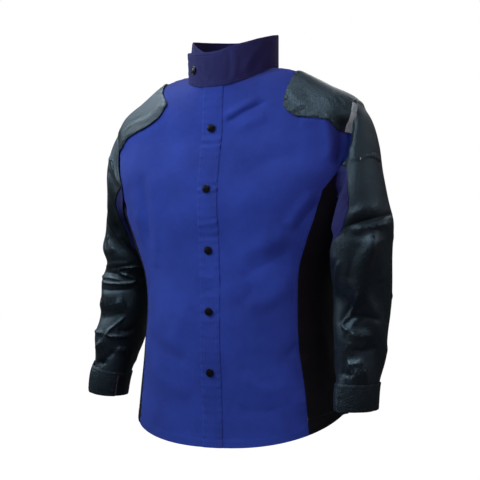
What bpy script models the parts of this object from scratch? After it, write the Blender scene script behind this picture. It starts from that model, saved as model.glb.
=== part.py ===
# Welding jacket, worn shape held at the neck. Metres, +Z up, front towards -Y, wearer's left towards +X.
# The origin is the middle of the neck at the height of the shoulder line.
import math

import bmesh
import bpy
import numpy as np
from mathutils import Matrix, Vector

# Main sizes
BODY_LENGTH = 0.775          # neck to front hem
CHEST_HALF_WIDTH = 0.275
CHEST_HALF_DEPTH = 0.140
SLEEVE_HALF_DEPTH = 0.080
LEAN = 0.030                 # rise of the wearer's left side for each metre across
CLOTH = 0.0015
LEATHER = 0.0020
COLLAR_WALL = 0.0030
SEAM_GAP = 0.0009            # between two pieces that meet edge to edge
SLEEVE_GAP = 0.0016          # between the body and the sleeve that laps over its armhole
YOKE_GAP_LEFT = 0.0019       # between the body's cloth and the leather over the shoulder
YOKE_GAP_RIGHT = 0.0027
LAY_GAP = 0.0009             # under the placket and the pocket welt
STRIP_GAP = 0.0003           # under the armhole strip, on top of the yoke's own rise
CUFF_GAP = 0.0011            # between the cuff's layers
NECK_GAP = 0.0008            # under the collar's lower edge

# Openings and small pieces
COLLAR_HEIGHT = 0.063
COLLAR_LAP = 0.0042          # how far the tab stands off the layer under it
PLACKET_WIDTH = 0.045
PLACKET_WALL = 0.0020
FIRST_SNAP_DROP = 0.137      # below the origin
SNAP_PITCH = 0.1217
SNAP_COUNT = 5
SNAP_RADIUS = 0.0085
SNAP_HEIGHT = 0.0040
SNAP_GAP = 0.0005
SNAP_SIDES = 12
CUFF_HEIGHT = 0.050
CUFF_START_ANGLE = 80.0      # where the band's under end lies
CUFF_END_ANGLE = 503.0       # where its upper end lies, more than one turn on
CUFF_RISE_BEFORE = 40.0      # the band starts to climb this many degrees before its under end
CUFF_RISE_ANGLE = 30.0       # and climbs over this many
TAPE_REACH_ANGLE = 12.0      # how far the tape shows past the band's end
TAPE_LENGTH_ANGLE = 34.0
TAPE_MARGIN = 0.005          # from the band's edges to the tape
TAPE_WALL = 0.0010
WELT_HEIGHT = 0.009
WELT_STATIONS = (2.22, 2.48) # the welt's front and back ends on the left sleeve
WELT_ANGLES = (46.0, -14.0)
WELT_WALL = 0.0012
STRIP_WALL = 0.0012
PLACKET_TOP_LEVEL = 0.12
FOLD_HEIGHT = 0.010

# Torso sections from neck to hem. Widths are shares of CHEST_HALF_WIDTH, depths of CHEST_HALF_DEPTH
# and heights of BODY_LENGTH.
TORSO_COLUMNS = ("half_width", "y_front", "y_side", "y_back", "z_front", "z_side", "z_back", "squareness")
TORSO = np.array([
    (0.335, -0.820, -0.21, 0.500, -0.067, -0.017, 0.000, 2.00),
    (0.527, -0.836, -0.30, 0.640, -0.114, -0.034, -0.028, 2.05),
    (0.760, -0.843, -0.21, 0.770, -0.152, -0.079, -0.068, 2.20),
    (0.955, -0.850, -0.10, 0.870, -0.196, -0.121, -0.121, 2.40),
    (0.993, -0.914, -0.04, 0.957, -0.245, -0.194, -0.194, 2.50),
    (1.000, -0.986, 0.00, 1.000, -0.310, -0.277, -0.277, 2.50),
    (0.960, -0.986, 0.00, 0.986, -0.387, -0.374, -0.374, 2.40),
    (0.884, -0.943, 0.00, 0.957, -0.467, -0.458, -0.458, 2.35),
    (0.782, -0.921, 0.00, 0.936, -0.542, -0.542, -0.542, 2.30),
    (0.749, -0.914, 0.00, 0.929, -0.632, -0.632, -0.632, 2.30),
    (0.767, -0.907, 0.00, 0.943, -0.742, -0.742, -0.742, 2.30),
    (0.818, -0.857, 0.00, 0.945, -0.865, -0.850, -0.855, 2.30),
    (0.850, -0.829, 0.00, 0.930, -1.000, -0.922, -0.945, 2.30),
])
HEM_LEVEL = 12.0

# Armhole, one row each 30 degrees from the shoulder point forwards: torso level, torso angle on the left,
# torso angle on the right
ARMHOLE = np.array([
    (3.10, 90.0, 90.0), (3.40, 82.0, 77.0), (3.95, 77.0, 69.0), (4.60, 74.0, 63.0),
    (5.20, 63.0, 56.0), (5.75, 66.0, 62.0), (6.10, 90.0, 90.0), (5.80, 110.0, 110.0),
    (5.20, 119.0, 119.0), (4.50, 118.0, 118.0), (3.85, 113.0, 113.0), (3.35, 103.0, 103.0),
])
ARMHOLE_MIDDLE = (4.6, 90.0)
ARMHOLE_EDGE = 1.0           # the body's edge round the armhole
SLEEVE_EDGE = 1.05           # the sleeve laps over the body to here
YOKE_EDGE = 1.062
STRIP_EDGES = (1.12, 1.20)
STRIP_TURNS = (8.0, 48.0)
SEAM_TURN = 120.0            # where the front side seam meets the armhole
BACK_SEAM_TURN = 240.0

# Side seams: torso level, angle of the left front seam, of the right front seam, of both back seams
SIDE_SEAMS = np.array([
    (5.2, 63.0, 56.0, 119.0),
    (5.6, 54.5, 58.0, 124.0),
    (7.0, 51.0, 60.0, 127.0),
    (9.0, 53.5, 60.0, 127.0),
    (12.0, 53.0, 60.0, 127.0),
])

# Yoke's inner edge from its lower front corner over the shoulder to the back: torso level, left angle,
# right angle
YOKE_INNER = np.array([
    (2.75, 41.0, 40.5), (2.40, 40.0, 38.0), (2.00, 43.0, 37.5), (1.60, 52.0, 41.0), (1.25, 68.0, 49.0),
    (1.10, 90.0, 90.0), (1.25, 113.0, 113.0), (1.60, 128.0, 128.0), (2.00, 136.0, 136.0), (2.75, 140.0, 140.0),
])
# Yoke's lower edge at the front from that corner to the armhole, and the same at the back
YOKE_FRONT = np.array([(2.75, 41.0), (2.98, 45.0), (3.35, 52.5), (3.85, 60.0), (4.12, 69.0)])
YOKE_BACK = np.array([(2.75, 140.0), (3.00, 136.0), (3.35, 129.0), (3.75, 121.0), (3.95, 114.0)])
YOKE_FRONT_TURN = 66.0
YOKE_BACK_TURN = 296.0

# Sleeve rings from shoulder to wrist. Widths are shares of CHEST_HALF_WIDTH, heights of BODY_LENGTH,
# middles of CHEST_HALF_DEPTH and depths of SLEEVE_HALF_DEPTH.
SLEEVE_COLUMNS = ("z_outer", "x_outer", "z_inner", "x_inner", "y_left", "y_right", "half_depth")
SLEEVE = np.array([
    (-0.128, 0.960, -0.387, 0.958, -0.02, -0.04, 0.88),
    (-0.161, 1.040, -0.403, 0.953, -0.06, 0.00, 0.97),
    (-0.213, 1.102, -0.419, 0.938, -0.14, 0.07, 1.02),
    (-0.290, 1.170, -0.439, 0.920, -0.29, 0.20, 1.00),
    (-0.374, 1.242, -0.467, 0.895, -0.39, 0.32, 0.97),
    (-0.445, 1.290, -0.506, 0.870, -0.43, 0.39, 0.94),
    (-0.535, 1.287, -0.555, 0.865, -0.42, 0.36, 0.88),
    (-0.632, 1.276, -0.635, 0.885, -0.39, 0.25, 0.82),
    (-0.735, 1.260, -0.735, 0.910, -0.50, 0.09, 0.74),
    (-0.826, 1.245, -0.826, 0.943, -0.66, -0.07, 0.61),
    (-0.890, 1.240, -0.890, 0.958, -0.72, -0.12, 0.56),
])
WRIST_STATION = 10.0
SLEEVE_END = 9.35
BLEND_STATIONS = 2.0         # the sleeve leaves the body's shape within these stations
# Blue panel inside the upper sleeve: station, angle of its front edge on the left sleeve and on the right,
# angle of its back edge
SLEEVE_PANEL = np.array([
    (0.0, 106.0, 118.0, 250.0),
    (1.0, 92.0, 122.0, 256.0),
    (2.5, 77.0, 126.0, 262.0),
    (4.0, 70.0, 128.0, 266.0),
    (5.0, 74.0, 130.0, 264.0),
])
PANEL_END = 5.0

# Collar from the tab's end round the left side and the back to the end under the tab:
# angle, rim height as a share of COLLAR_HEIGHT, how far the layer stands out as a share of COLLAR_LAP
COLLAR = np.array([
    (-50.0, 0.19, 1.00), (-25.0, 0.21, 1.00), (0.0, 0.29, 1.00), (20.0, 0.46, 0.90), (40.0, 0.62, 0.60),
    (60.0, 0.78, 0.25), (90.0, 0.95, 0.0), (115.0, 1.03, 0.0), (150.0, 1.01, 0.0), (180.0, 0.98, 0.0),
    (215.0, 0.93, 0.0), (240.0, 0.91, 0.0), (262.0, 0.86, 0.0), (280.0, 0.72, 0.0), (305.0, 0.40, 0.0),
    (345.0, 0.14, 0.0),
])
COLLAR_SNAP_ANGLE = -30.0
COLLAR_SNAP_SHARE = 0.50

# Folds. Heights are shares of FOLD_HEIGHT; along and width count table rows, around and span are degrees,
# slant is rows for each 60 degrees.
FOLD_COLUMNS = ("along", "around", "slant", "width", "span", "height")
TORSO_FOLDS = np.array([
    (5.6, 30.0, -0.9, 0.55, 34.0, 0.35),
    (4.6, 22.0, -0.7, 0.50, 26.0, -0.30),
    (6.9, -58.0, 1.2, 0.60, 26.0, -0.45),
    (8.6, 36.0, 0.6, 0.60, 34.0, 0.30),
    (9.6, -40.0, -0.8, 0.60, 36.0, 0.30),
    (8.2, 150.0, 1.0, 0.60, 34.0, 0.35),
    (8.4, 215.0, -1.0, 0.60, 34.0, 0.35),
    (10.4, 180.0, 0.0, 0.80, 50.0, -0.25),
])
LEFT_SLEEVE_FOLDS = np.array([
    (4.9, 60.0, -0.5, 0.45, 60.0, -0.70),
    (5.5, 45.0, 0.7, 0.50, 60.0, 0.80),
    (6.3, 95.0, -0.8, 0.45, 55.0, -0.45),
    (6.9, 60.0, -1.1, 0.40, 60.0, 0.70),
    (7.4, 80.0, -0.9, 0.40, 70.0, -0.80),
    (7.9, 60.0, -0.3, 0.40, 80.0, 0.60),
    (8.5, 90.0, 0.4, 0.35, 80.0, -0.60),
    (5.4, 220.0, 0.6, 0.60, 60.0, -0.50),
    (7.3, 250.0, 0.8, 0.60, 70.0, 0.50),
])
RIGHT_SLEEVE_FOLDS = np.array([
    (5.3, 70.0, 0.0, 0.40, 80.0, 0.80),
    (5.9, 60.0, 0.3, 0.40, 70.0, -0.60),
    (6.4, 50.0, 0.5, 0.40, 60.0, 0.60),
    (7.2, 70.0, -0.5, 0.35, 80.0, -0.60),
    (7.8, 60.0, 0.3, 0.40, 70.0, 0.70),
    (8.4, 80.0, -0.3, 0.35, 80.0, -0.60),
    (6.2, 230.0, 0.6, 0.60, 60.0, -0.50),
    (7.6, 250.0, -0.8, 0.60, 70.0, 0.50),
])


def smooth_rows(table, place, around=False):
    """Reads a table at fractional rows along a smooth curve; round tables close on themselves."""
    last = len(table) - 1
    place = np.asarray(place, float)
    place = place % len(table) if around else np.clip(place, 0, last)
    row = place.astype(int) if around else np.minimum(place.astype(int), last - 1)
    part = (place - row)[..., None]

    def pick(step):
        index = row + step
        return table[index % len(table)] if around else table[np.clip(index, 0, last)]

    before, here, after, beyond = pick(-1), pick(0), pick(1), pick(2)
    lift_here, lift_after = (after - before) / 2, (beyond - here) / 2
    square, cube = part ** 2, part ** 3
    return ((2 * cube - 3 * square + 1) * here + (cube - 2 * square + part) * lift_here
            + (3 * square - 2 * cube) * after + (cube - square) * lift_after)


def read_by_first(table, key):
    """Reads a table's other columns at a value of its first column, with straight lines between rows."""
    return [np.interp(key, table[:, 0], table[:, column]) for column in range(1, table.shape[1])]


def fold_height(folds, along, around):
    """Height of all folds at a place."""
    total = np.zeros(np.broadcast(along, around).shape)
    for row in folds:
        fold = dict(zip(FOLD_COLUMNS, row))
        turn = (around - fold["around"] + 180.0) % 360.0 - 180.0
        off = along - fold["along"] - fold["slant"] * turn / 60.0
        total = total + fold["height"] * np.exp(-(off / fold["width"]) ** 2 - (turn / fold["span"]) ** 2)
    return total * FOLD_HEIGHT


def torso_point(level, angle):
    """Outer face of the body at a section level and an angle from the front middle towards the left."""
    level, angle = np.broadcast_arrays(np.asarray(level, float), np.asarray(angle, float))
    row = dict(zip(TORSO_COLUMNS, np.moveaxis(smooth_rows(TORSO, level), -1, 0)))
    sine, cosine = np.sin(np.radians(angle)), np.cos(np.radians(angle))
    power = 2.0 / row["squareness"]
    fold = fold_height(TORSO_FOLDS, level, angle)
    side = np.sign(sine) * np.abs(sine) ** power
    ahead = np.sign(cosine) * np.abs(cosine) ** power
    reach = np.where(cosine > 0, row["y_side"] - row["y_front"], row["y_back"] - row["y_side"])
    x = CHEST_HALF_WIDTH * row["half_width"] * side + fold * sine
    y = CHEST_HALF_DEPTH * (row["y_side"] - reach * ahead) - fold * cosine
    front_share = np.maximum(cosine, 0.0) ** 1.2
    back_share = np.maximum(-cosine, 0.0) ** 1.2
    drop = (row["z_side"] + (row["z_front"] - row["z_side"]) * front_share
            + (row["z_back"] - row["z_side"]) * back_share)
    return np.stack([x, y, BODY_LENGTH * drop + LEAN * x], -1)


def armhole_place(turn, spread, side):
    """Torso level and angle of a point round an armhole, spread about its middle."""
    row = np.asarray(turn, float) / 30.0
    level, left, right = np.moveaxis(smooth_rows(ARMHOLE, row, around=True), -1, 0)
    angle = left if side > 0 else right
    level = ARMHOLE_MIDDLE[0] + (level - ARMHOLE_MIDDLE[0]) * spread
    angle = ARMHOLE_MIDDLE[1] + (angle - ARMHOLE_MIDDLE[1]) * spread
    return level, angle


class Surface:
    """A surface: a function of two values that gives its points, and the sign of its outward direction."""

    def __init__(self, point, facing):
        self.point = point
        self.facing = facing


def lifted(surface, first, second, lift):
    """Points of a surface moved off it along its outward direction."""
    step = 0.02
    along = surface.point(first + step, second) - surface.point(first - step, second)
    across = surface.point(first, second + step * 20) - surface.point(first, second - step * 20)
    normal = np.cross(along, across) * surface.facing
    length = np.linalg.norm(normal, axis=-1, keepdims=True)
    return surface.point(first, second) + normal / np.maximum(length, 1e-12) * np.asarray(lift)[..., None]


def body_surface(side):
    """The body's outer face, with angles from the front middle towards the left (1) or the right (-1)."""
    return Surface(lambda level, angle: torso_point(level, side * angle), side)


def sleeve_surface(side):
    """Outer face of a sleeve at a station and an angle from its outer side forwards."""
    folds = LEFT_SLEEVE_FOLDS if side > 0 else RIGHT_SLEEVE_FOLDS
    middle_column = "y_left" if side > 0 else "y_right"

    def ring_point(station, turn):
        row = dict(zip(SLEEVE_COLUMNS, np.moveaxis(smooth_rows(SLEEVE, station), -1, 0)))
        cosine, sine = np.cos(np.radians(turn)), np.sin(np.radians(turn))
        fold = fold_height(folds, station, turn)
        middle = (row["x_outer"] + row["x_inner"]) / 2 * CHEST_HALF_WIDTH
        half = (row["x_outer"] - row["x_inner"]) / 2 * CHEST_HALF_WIDTH
        height = (row["z_outer"] + row["z_inner"]) / 2 * BODY_LENGTH
        rise = (row["z_outer"] - row["z_inner"]) / 2 * BODY_LENGTH
        x = middle + (half + fold) * cosine
        y = CHEST_HALF_DEPTH * row[middle_column] - (SLEEVE_HALF_DEPTH * row["half_depth"] + fold) * sine
        return np.stack([side * x, y, height + rise * cosine + LEAN * side * x], -1)

    def point(station, turn):
        station, turn = np.broadcast_arrays(np.asarray(station, float), np.asarray(turn, float))
        level, angle = armhole_place(turn, SLEEVE_EDGE, side)
        root = lifted(body_surface(side), level, angle, SLEEVE_GAP + LEATHER)
        fade = np.clip(1.0 - station / BLEND_STATIONS, 0.0, 1.0) ** 2
        away = root - ring_point(np.zeros_like(station), turn)
        return ring_point(station, turn) + away * fade[..., None]

    return Surface(point, -side)


def collar_point(share, angle):
    """Outer face of the collar at a share of its height and an angle along its spiral."""
    share, angle = np.broadcast_arrays(np.asarray(share, float), np.asarray(angle, float))
    rim, stand_out = read_by_first(COLLAR, angle)
    foot = torso_point(np.zeros_like(angle), angle)
    middle = np.array([0.0, TORSO[0, 2] * CHEST_HALF_DEPTH])
    outward = foot[..., :2] - middle
    outward = outward / np.linalg.norm(outward, axis=-1, keepdims=True)
    flat = foot[..., :2] + outward * (COLLAR_LAP * stand_out)[..., None]
    low = foot[..., 2] + NECK_GAP
    z = low + (COLLAR_HEIGHT * rim - low) * share
    return np.concatenate([flat, z[..., None]], -1)


def collar_surface():
    """The collar's outer face."""
    return Surface(collar_point, -1)


def material(name, color, roughness, metallic=0.0):
    """A plain finish of one colour."""
    finish = bpy.data.materials.get(name) or bpy.data.materials.new(name)
    finish.use_nodes = True
    shader = finish.node_tree.nodes["Principled BSDF"]
    shader.inputs["Base Color"].default_value = (*color, 1.0)
    shader.inputs["Roughness"].default_value = roughness
    shader.inputs["Metallic"].default_value = metallic
    return finish


def blue_cotton():
    return material("blue_cotton", (0.030, 0.080, 0.360), 0.85)


def navy_cotton():
    return material("navy_cotton", (0.020, 0.025, 0.110), 0.85)


def black_stretch():
    return material("black_stretch", (0.004, 0.005, 0.008), 0.80)


def black_leather():
    return material("black_leather", (0.012, 0.016, 0.022), 0.45)


def pale_hide():
    return material("pale_hide", (0.100, 0.110, 0.130), 0.70)


def grey_tape():
    return material("grey_tape", (0.080, 0.075, 0.100), 0.90)


def dark_metal():
    return material("dark_metal", (0.050, 0.055, 0.065), 0.30, 0.9)


def add_object(name, mesh_builder, finish):
    """Makes a named object of a bmesh, smooth but for its sharp edges."""
    mesh = bpy.data.meshes.new(name)
    mesh_builder.to_mesh(mesh)
    mesh_builder.free()
    mesh.materials.append(finish)
    mesh.shade_smooth()
    mesh.set_sharp_from_angle(angle=math.radians(50.0))
    item = bpy.data.objects.new(name, mesh)
    bpy.context.scene.collection.objects.link(item)
    return item


def inset_edges(points, gap, wrap):
    """Draws a patch's edges in towards its inside by half a seam gap."""
    moved = points.copy()

    def draw(edge, inner):
        way = inner - edge
        return edge + way / np.linalg.norm(way, axis=-1, keepdims=True) * gap / 2

    moved[0] = draw(points[0], points[1])
    moved[-1] = draw(points[-1], points[-2])
    if not wrap:
        side = moved.copy()
        moved[:, 0] = draw(side[:, 0], side[:, 1])
        moved[:, -1] = draw(side[:, -1], side[:, -2])
    return moved


def wall_of(surface, first, second, top, wall):
    """Outer and inner points of a wall whose outer face stands a given height off a surface."""
    first, second, top = np.broadcast_arrays(first, second, top)
    return lifted(surface, first, second, top), lifted(surface, first, second, top - wall)


def walled_patch(name, faces, finish, wrap=False, keep=None, gap=0.0):
    """Makes a closed wall: a grid takes the outer points, is trimmed and is extruded to the inner points."""
    outer, inner = [inset_edges(points, gap, wrap) if gap else points for points in faces]
    rows, columns = outer.shape[:2]
    mesh = bmesh.new()
    bmesh.ops.create_grid(mesh, x_segments=columns - 1, y_segments=rows - 1, size=1.0)
    place_of = mesh.verts.layers.int.new("place")
    for vert in mesh.verts:
        row = round((vert.co.y + 1) / 2 * (rows - 1))
        vert[place_of] = row * columns + round((vert.co.x + 1) / 2 * (columns - 1))
    if keep is not None:
        cut = [face for face in mesh.faces if not keep.flat[cell_of(face, place_of, columns)]]
        bmesh.ops.delete(mesh, geom=cut, context="FACES")
    flat_outer, flat_inner = outer.reshape(-1, 3), inner.reshape(-1, 3)
    for vert in mesh.verts:
        vert.co = Vector(flat_outer[vert[place_of]])
    if wrap:
        bmesh.ops.remove_doubles(mesh, verts=mesh.verts, dist=1e-6)
    made = bmesh.ops.extrude_face_region(mesh, geom=mesh.faces[:], use_keep_orig=True)
    for item in made["geom"]:
        if isinstance(item, bmesh.types.BMVert):
            item.co = Vector(flat_inner[item[place_of]])
    bmesh.ops.recalc_face_normals(mesh, faces=mesh.faces)
    return add_object(name, mesh, finish)


def cell_of(face, place_of, columns):
    """Index of a grid cell in an array with one column fewer than the grid's points."""
    corner = min(vert[place_of] for vert in face.verts)
    return corner // columns * (columns - 1) + corner % columns


def side_seam(level, side):
    """Angles of the front and back side seams at a torso level."""
    left, right, back = read_by_first(SIDE_SEAMS, level)
    return (left if side > 0 else right), back


SHOULDER_LEVELS = np.array([0.0, 0.35, 0.75, 1.1, 1.45, 1.85, 2.25, 2.65])
SEAM_LEVELS = np.linspace(SIDE_SEAMS[0, 0], HEM_LEVEL, 16)[1:]
FRONT_TURNS = np.linspace(0.0, SEAM_TURN, 7)
BACK_TURNS = np.linspace(360.0, BACK_SEAM_TURN, 7)


def front_edge(side):
    """Levels and angles of a front's outer edge: shoulder seam, armhole, side seam."""
    arm_level, arm_angle = armhole_place(FRONT_TURNS, ARMHOLE_EDGE, side)
    seam_angle = side_seam(SEAM_LEVELS, side)[0]
    level = np.concatenate([SHOULDER_LEVELS, arm_level, SEAM_LEVELS])
    angle = np.concatenate([np.full(len(SHOULDER_LEVELS), 90.0), arm_angle, seam_angle])
    return level, angle


def back_edge():
    """Levels and angles of the back's edges."""
    arm_level, arm_angle = armhole_place(BACK_TURNS, ARMHOLE_EDGE, 1)
    seam_angle = side_seam(SEAM_LEVELS, 1)[1]
    level = np.concatenate([SHOULDER_LEVELS, arm_level, SEAM_LEVELS])
    angle = np.concatenate([np.full(len(SHOULDER_LEVELS), 90.0), arm_angle, seam_angle])
    return level, angle


def make_front(name, side):
    """One front, from the middle under the placket to the side seam."""
    level, angle = front_edge(side)
    share = np.linspace(0.0, 1.0, 8) ** 0.9
    faces = wall_of(body_surface(side), level[:, None], angle[:, None] * share, 0.0, CLOTH)
    walled_patch(name, faces, blue_cotton(), gap=SEAM_GAP)


def make_back():
    """The back in one piece between the shoulder, armhole and side seams."""
    level, angle = back_edge()
    share = np.linspace(0.0, 1.0, 15)
    angles = angle[:, None] + (360.0 - 2 * angle[:, None]) * share
    faces = wall_of(body_surface(1), level[:, None], angles, 0.0, CLOTH)
    walled_patch("back_panel", faces, blue_cotton(), gap=SEAM_GAP)


def make_side_panel(name, side):
    """Black panel from the armpit to the hem, between the two side seams."""
    levels = np.concatenate([SIDE_SEAMS[:1, 0], SEAM_LEVELS])
    front, back = side_seam(levels, side)
    turns = np.linspace(SEAM_TURN, BACK_SEAM_TURN, 7)
    top_level, top_angle = armhole_place(turns, ARMHOLE_EDGE, side)
    across = (turns - SEAM_TURN) / (BACK_SEAM_TURN - SEAM_TURN)
    down = (levels - levels[0]) / (HEM_LEVEL - levels[0])
    level = levels[:, None] + (top_level - levels[0])[None, :] * (1 - down)[:, None]
    straight = front[:, None] + (back - front)[:, None] * across[None, :]
    top_straight = front[0] + (back[0] - front[0]) * across
    angle = straight + (top_angle - top_straight)[None, :] * (1 - down)[:, None]
    faces = wall_of(body_surface(side), level, angle, 0.0, CLOTH)
    walled_patch(name, faces, black_stretch(), gap=SEAM_GAP)


def make_yoke(name, side):
    """Leather over the shoulder, on top of the body's cloth, from its inner edge to the armhole."""
    along = np.linspace(0.0, 1.0, 19)
    out = np.linspace(0.0, 1.0, 7)
    inner = smooth_rows(YOKE_INNER, along * (len(YOKE_INNER) - 1))
    inner = np.stack([inner[:, 0], inner[:, 1] if side > 0 else inner[:, 2]], -1)
    turns = YOKE_FRONT_TURN + along * (YOKE_BACK_TURN - 360.0 - YOKE_FRONT_TURN)
    outer = np.stack(armhole_place(turns, YOKE_EDGE, side), -1)
    front = smooth_rows(YOKE_FRONT, out * (len(YOKE_FRONT) - 1))
    back = smooth_rows(YOKE_BACK, out * (len(YOKE_BACK) - 1))
    front = fit_ends(front, inner[0], outer[0])
    back = fit_ends(back, inner[-1], outer[-1])
    place = coons(inner, outer, front, back, along, out)
    gap = YOKE_GAP_LEFT if side > 0 else YOKE_GAP_RIGHT
    faces = wall_of(body_surface(side), place[..., 0], place[..., 1], gap + LEATHER, LEATHER)
    walled_patch(name, faces, black_leather())


def fit_ends(line, start, end):
    """Shifts a line so that it starts and ends at the given places."""
    share = np.linspace(0.0, 1.0, len(line))[:, None]
    return line + (start - line[0]) * (1 - share) + (end - line[-1]) * share


def coons(inner, outer, front, back, along, out):
    """Fills the region between four edge lines."""
    a, b = along[:, None, None], out[None, :, None]
    ruled = inner[:, None] * (1 - b) + outer[:, None] * b
    crossed = front[None] * (1 - a) + back[None] * a
    corners = ((inner[0] * (1 - b) + outer[0] * b) * (1 - a) + (inner[-1] * (1 - b) + outer[-1] * b) * a)
    return ruled + crossed - corners


def make_strip():
    """Pale strip on the yoke along the front of the left armhole."""
    turns = np.linspace(*STRIP_TURNS, 8)
    edges = np.linspace(*STRIP_EDGES, 3)
    level, angle = armhole_place(turns[:, None], edges[None, :], 1)
    top = YOKE_GAP_LEFT + LEATHER + STRIP_GAP + STRIP_WALL
    walled_patch("armhole_strip_left", wall_of(body_surface(1), level, angle, top, STRIP_WALL), pale_hide())


def sleeve_grid(side):
    """Stations and angles of a sleeve's grid: the blue panel's columns, then the leather's."""
    stations = np.concatenate([np.linspace(0.0, PANEL_END, 13), np.linspace(PANEL_END, SLEEVE_END, 11)[1:]])
    left, right, back = read_by_first(SLEEVE_PANEL, stations)
    front = left if side > 0 else right
    panel_share = np.linspace(0.0, 1.0, 8)
    leather_share = np.linspace(0.0, 1.0, 12)
    panel = front[:, None] + (back - front)[:, None] * panel_share[None, :]
    leather = back[:, None] + (360.0 + front - back)[:, None] * leather_share[None, :]
    return stations, panel, leather


def make_sleeve(word, side):
    """Leather sleeve with a cut-out on its inner side, and the blue panel in it."""
    surface = sleeve_surface(side)
    stations, panel, leather = sleeve_grid(side)
    turns = np.concatenate([panel[:, :-1], leather], -1)
    panel_rows = int(np.searchsorted(stations, PANEL_END))
    panel_columns = panel.shape[1] - 1
    keep = np.ones((turns.shape[0] - 1, turns.shape[1] - 1), bool)
    keep[:panel_rows, :panel_columns] = False
    faces = wall_of(surface, stations[:, None], turns, 0.0, LEATHER)
    for points in faces:
        draw_notch(points, panel_rows, panel_columns, SEAM_GAP / 2)
    walled_patch(f"sleeve_{word}", faces, black_leather(), wrap=True, keep=keep)
    part = (slice(None, panel_rows + 1), slice(None, panel_columns + 1))
    panel_faces = wall_of(surface, stations[:panel_rows + 1, None], turns[part], 0.0, CLOTH)
    walled_patch(f"sleeve_panel_{word}", panel_faces, blue_cotton(), gap=SEAM_GAP)


def draw_notch(grid, row, column, gap):
    """Draws the cut-out's edges back into the leather."""
    def draw(edge, inner):
        way = inner - edge
        return edge + way / np.linalg.norm(way, axis=-1, keepdims=True) * gap

    low = draw(grid[row, :column + 1], grid[row + 1, :column + 1])
    right = draw(grid[:row + 1, column], grid[:row + 1, column + 1])
    left = draw(grid[:row + 1, -1], grid[:row + 1, -2])
    grid[row, :column + 1] = low
    grid[:row + 1, column] = right
    grid[:row + 1, -1] = left
    grid[:row + 1, 0] = left


def stations_long(length, station):
    """Number of stations that a length down the sleeve's outer side takes at a station."""
    rows = np.arange(len(SLEEVE))
    high, low = np.interp([station, station + 1.0], rows, SLEEVE[:, 0])
    return length / (BODY_LENGTH * (high - low))


def make_welt():
    """Leather welt of the pocket on the left upper sleeve."""
    station = np.linspace(*WELT_STATIONS, 6)
    turn = np.linspace(*WELT_ANGLES, 6)
    across = np.linspace(0.0, 1.0, 3)
    place = station[:, None] + stations_long(WELT_HEIGHT, WELT_STATIONS[0]) * across
    top = LAY_GAP + WELT_WALL
    faces = wall_of(sleeve_surface(1), place, turn[:, None], top, WELT_WALL)
    walled_patch("sleeve_pocket_welt", faces, black_leather())


def make_cuff(word, side):
    """Leather band round the sleeve's end that overlaps itself, and the hook tape between its layers."""
    surface = sleeve_surface(side)
    turns = np.linspace(CUFF_START_ANGLE, CUFF_END_ANGLE, 29)
    start = WRIST_STATION - stations_long(CUFF_HEIGHT, WRIST_STATION - 1.0)
    stations = np.linspace(start, WRIST_STATION, 3)
    base = CUFF_GAP + LEATHER
    raised = LEATHER + TAPE_WALL + 2 * CUFF_GAP
    climb = np.clip((turns - (360.0 + CUFF_START_ANGLE - CUFF_RISE_BEFORE)) / CUFF_RISE_ANGLE, 0.0, 1.0)
    faces = wall_of(surface, stations[:, None], turns[None, :], (base + raised * climb)[None, :], LEATHER)
    walled_patch(f"cuff_{word}", faces, black_leather())
    tape_turns = np.linspace(CUFF_END_ANGLE - TAPE_LENGTH_ANGLE, CUFF_END_ANGLE + TAPE_REACH_ANGLE, 6)
    margin = stations_long(TAPE_MARGIN, WRIST_STATION - 1.0)
    tape_stations = np.linspace(start + margin, WRIST_STATION - margin, 3)
    top = base + CUFF_GAP + TAPE_WALL
    tape = wall_of(surface, tape_stations[:, None], tape_turns[None, :], top, TAPE_WALL)
    walled_patch(f"cuff_tape_{word}", tape, grey_tape())


def make_collar():
    """Stand collar: one wall from the tab's end round the neck to the end under the tab."""
    angles = np.linspace(COLLAR[0, 0], COLLAR[-1, 0], 41)
    shares = np.linspace(0.0, 1.0, 4)
    faces = wall_of(collar_surface(), shares[:, None], angles[None, :], 0.0, COLLAR_WALL)
    walled_patch("collar", faces, navy_cotton())


def front_angle(level, x):
    """Torso angle at a distance across from the front middle."""
    row = dict(zip(TORSO_COLUMNS, np.moveaxis(smooth_rows(TORSO, level), -1, 0)))
    share = np.abs(x) / (CHEST_HALF_WIDTH * row["half_width"])
    return np.sign(x) * np.degrees(np.arcsin(share ** (row["squareness"] / 2)))


def make_placket():
    """Strip over the centre opening."""
    levels = np.linspace(PLACKET_TOP_LEVEL, HEM_LEVEL, 27)
    across = np.linspace(-PLACKET_WIDTH / 2, PLACKET_WIDTH / 2, 4)
    level = levels[:, None] + 0 * across
    angle = front_angle(level, across[None, :] + 0 * level)
    faces = wall_of(body_surface(1), level, angle, LAY_GAP + PLACKET_WALL, PLACKET_WALL)
    walled_patch("placket", faces, blue_cotton())


def cap_mesh(name):
    """Domed snap cap with a rolled rim, turned about its axis."""
    mesh = bmesh.new()
    outline = [(0.0, 0.0), (0.90, 0.0), (1.0, 0.30), (0.90, 0.60), (0.55, 0.92), (0.0, 1.0)]
    verts = [mesh.verts.new((out * SNAP_RADIUS, 0.0, up * SNAP_HEIGHT)) for out, up in outline]
    edges = [mesh.edges.new(pair) for pair in zip(verts, verts[1:])]
    bmesh.ops.spin(mesh, geom=verts + edges, cent=(0, 0, 0), axis=(0, 0, 1), angle=math.tau,
                   steps=SNAP_SIDES, use_merge=True)
    bmesh.ops.remove_doubles(mesh, verts=mesh.verts, dist=1e-5)
    bmesh.ops.recalc_face_normals(mesh, faces=mesh.faces)
    data = bpy.data.meshes.new(name)
    mesh.to_mesh(data)
    mesh.free()
    data.materials.append(dark_metal())
    data.shade_smooth()
    data.set_sharp_from_angle(angle=math.radians(50.0))
    return data


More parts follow.
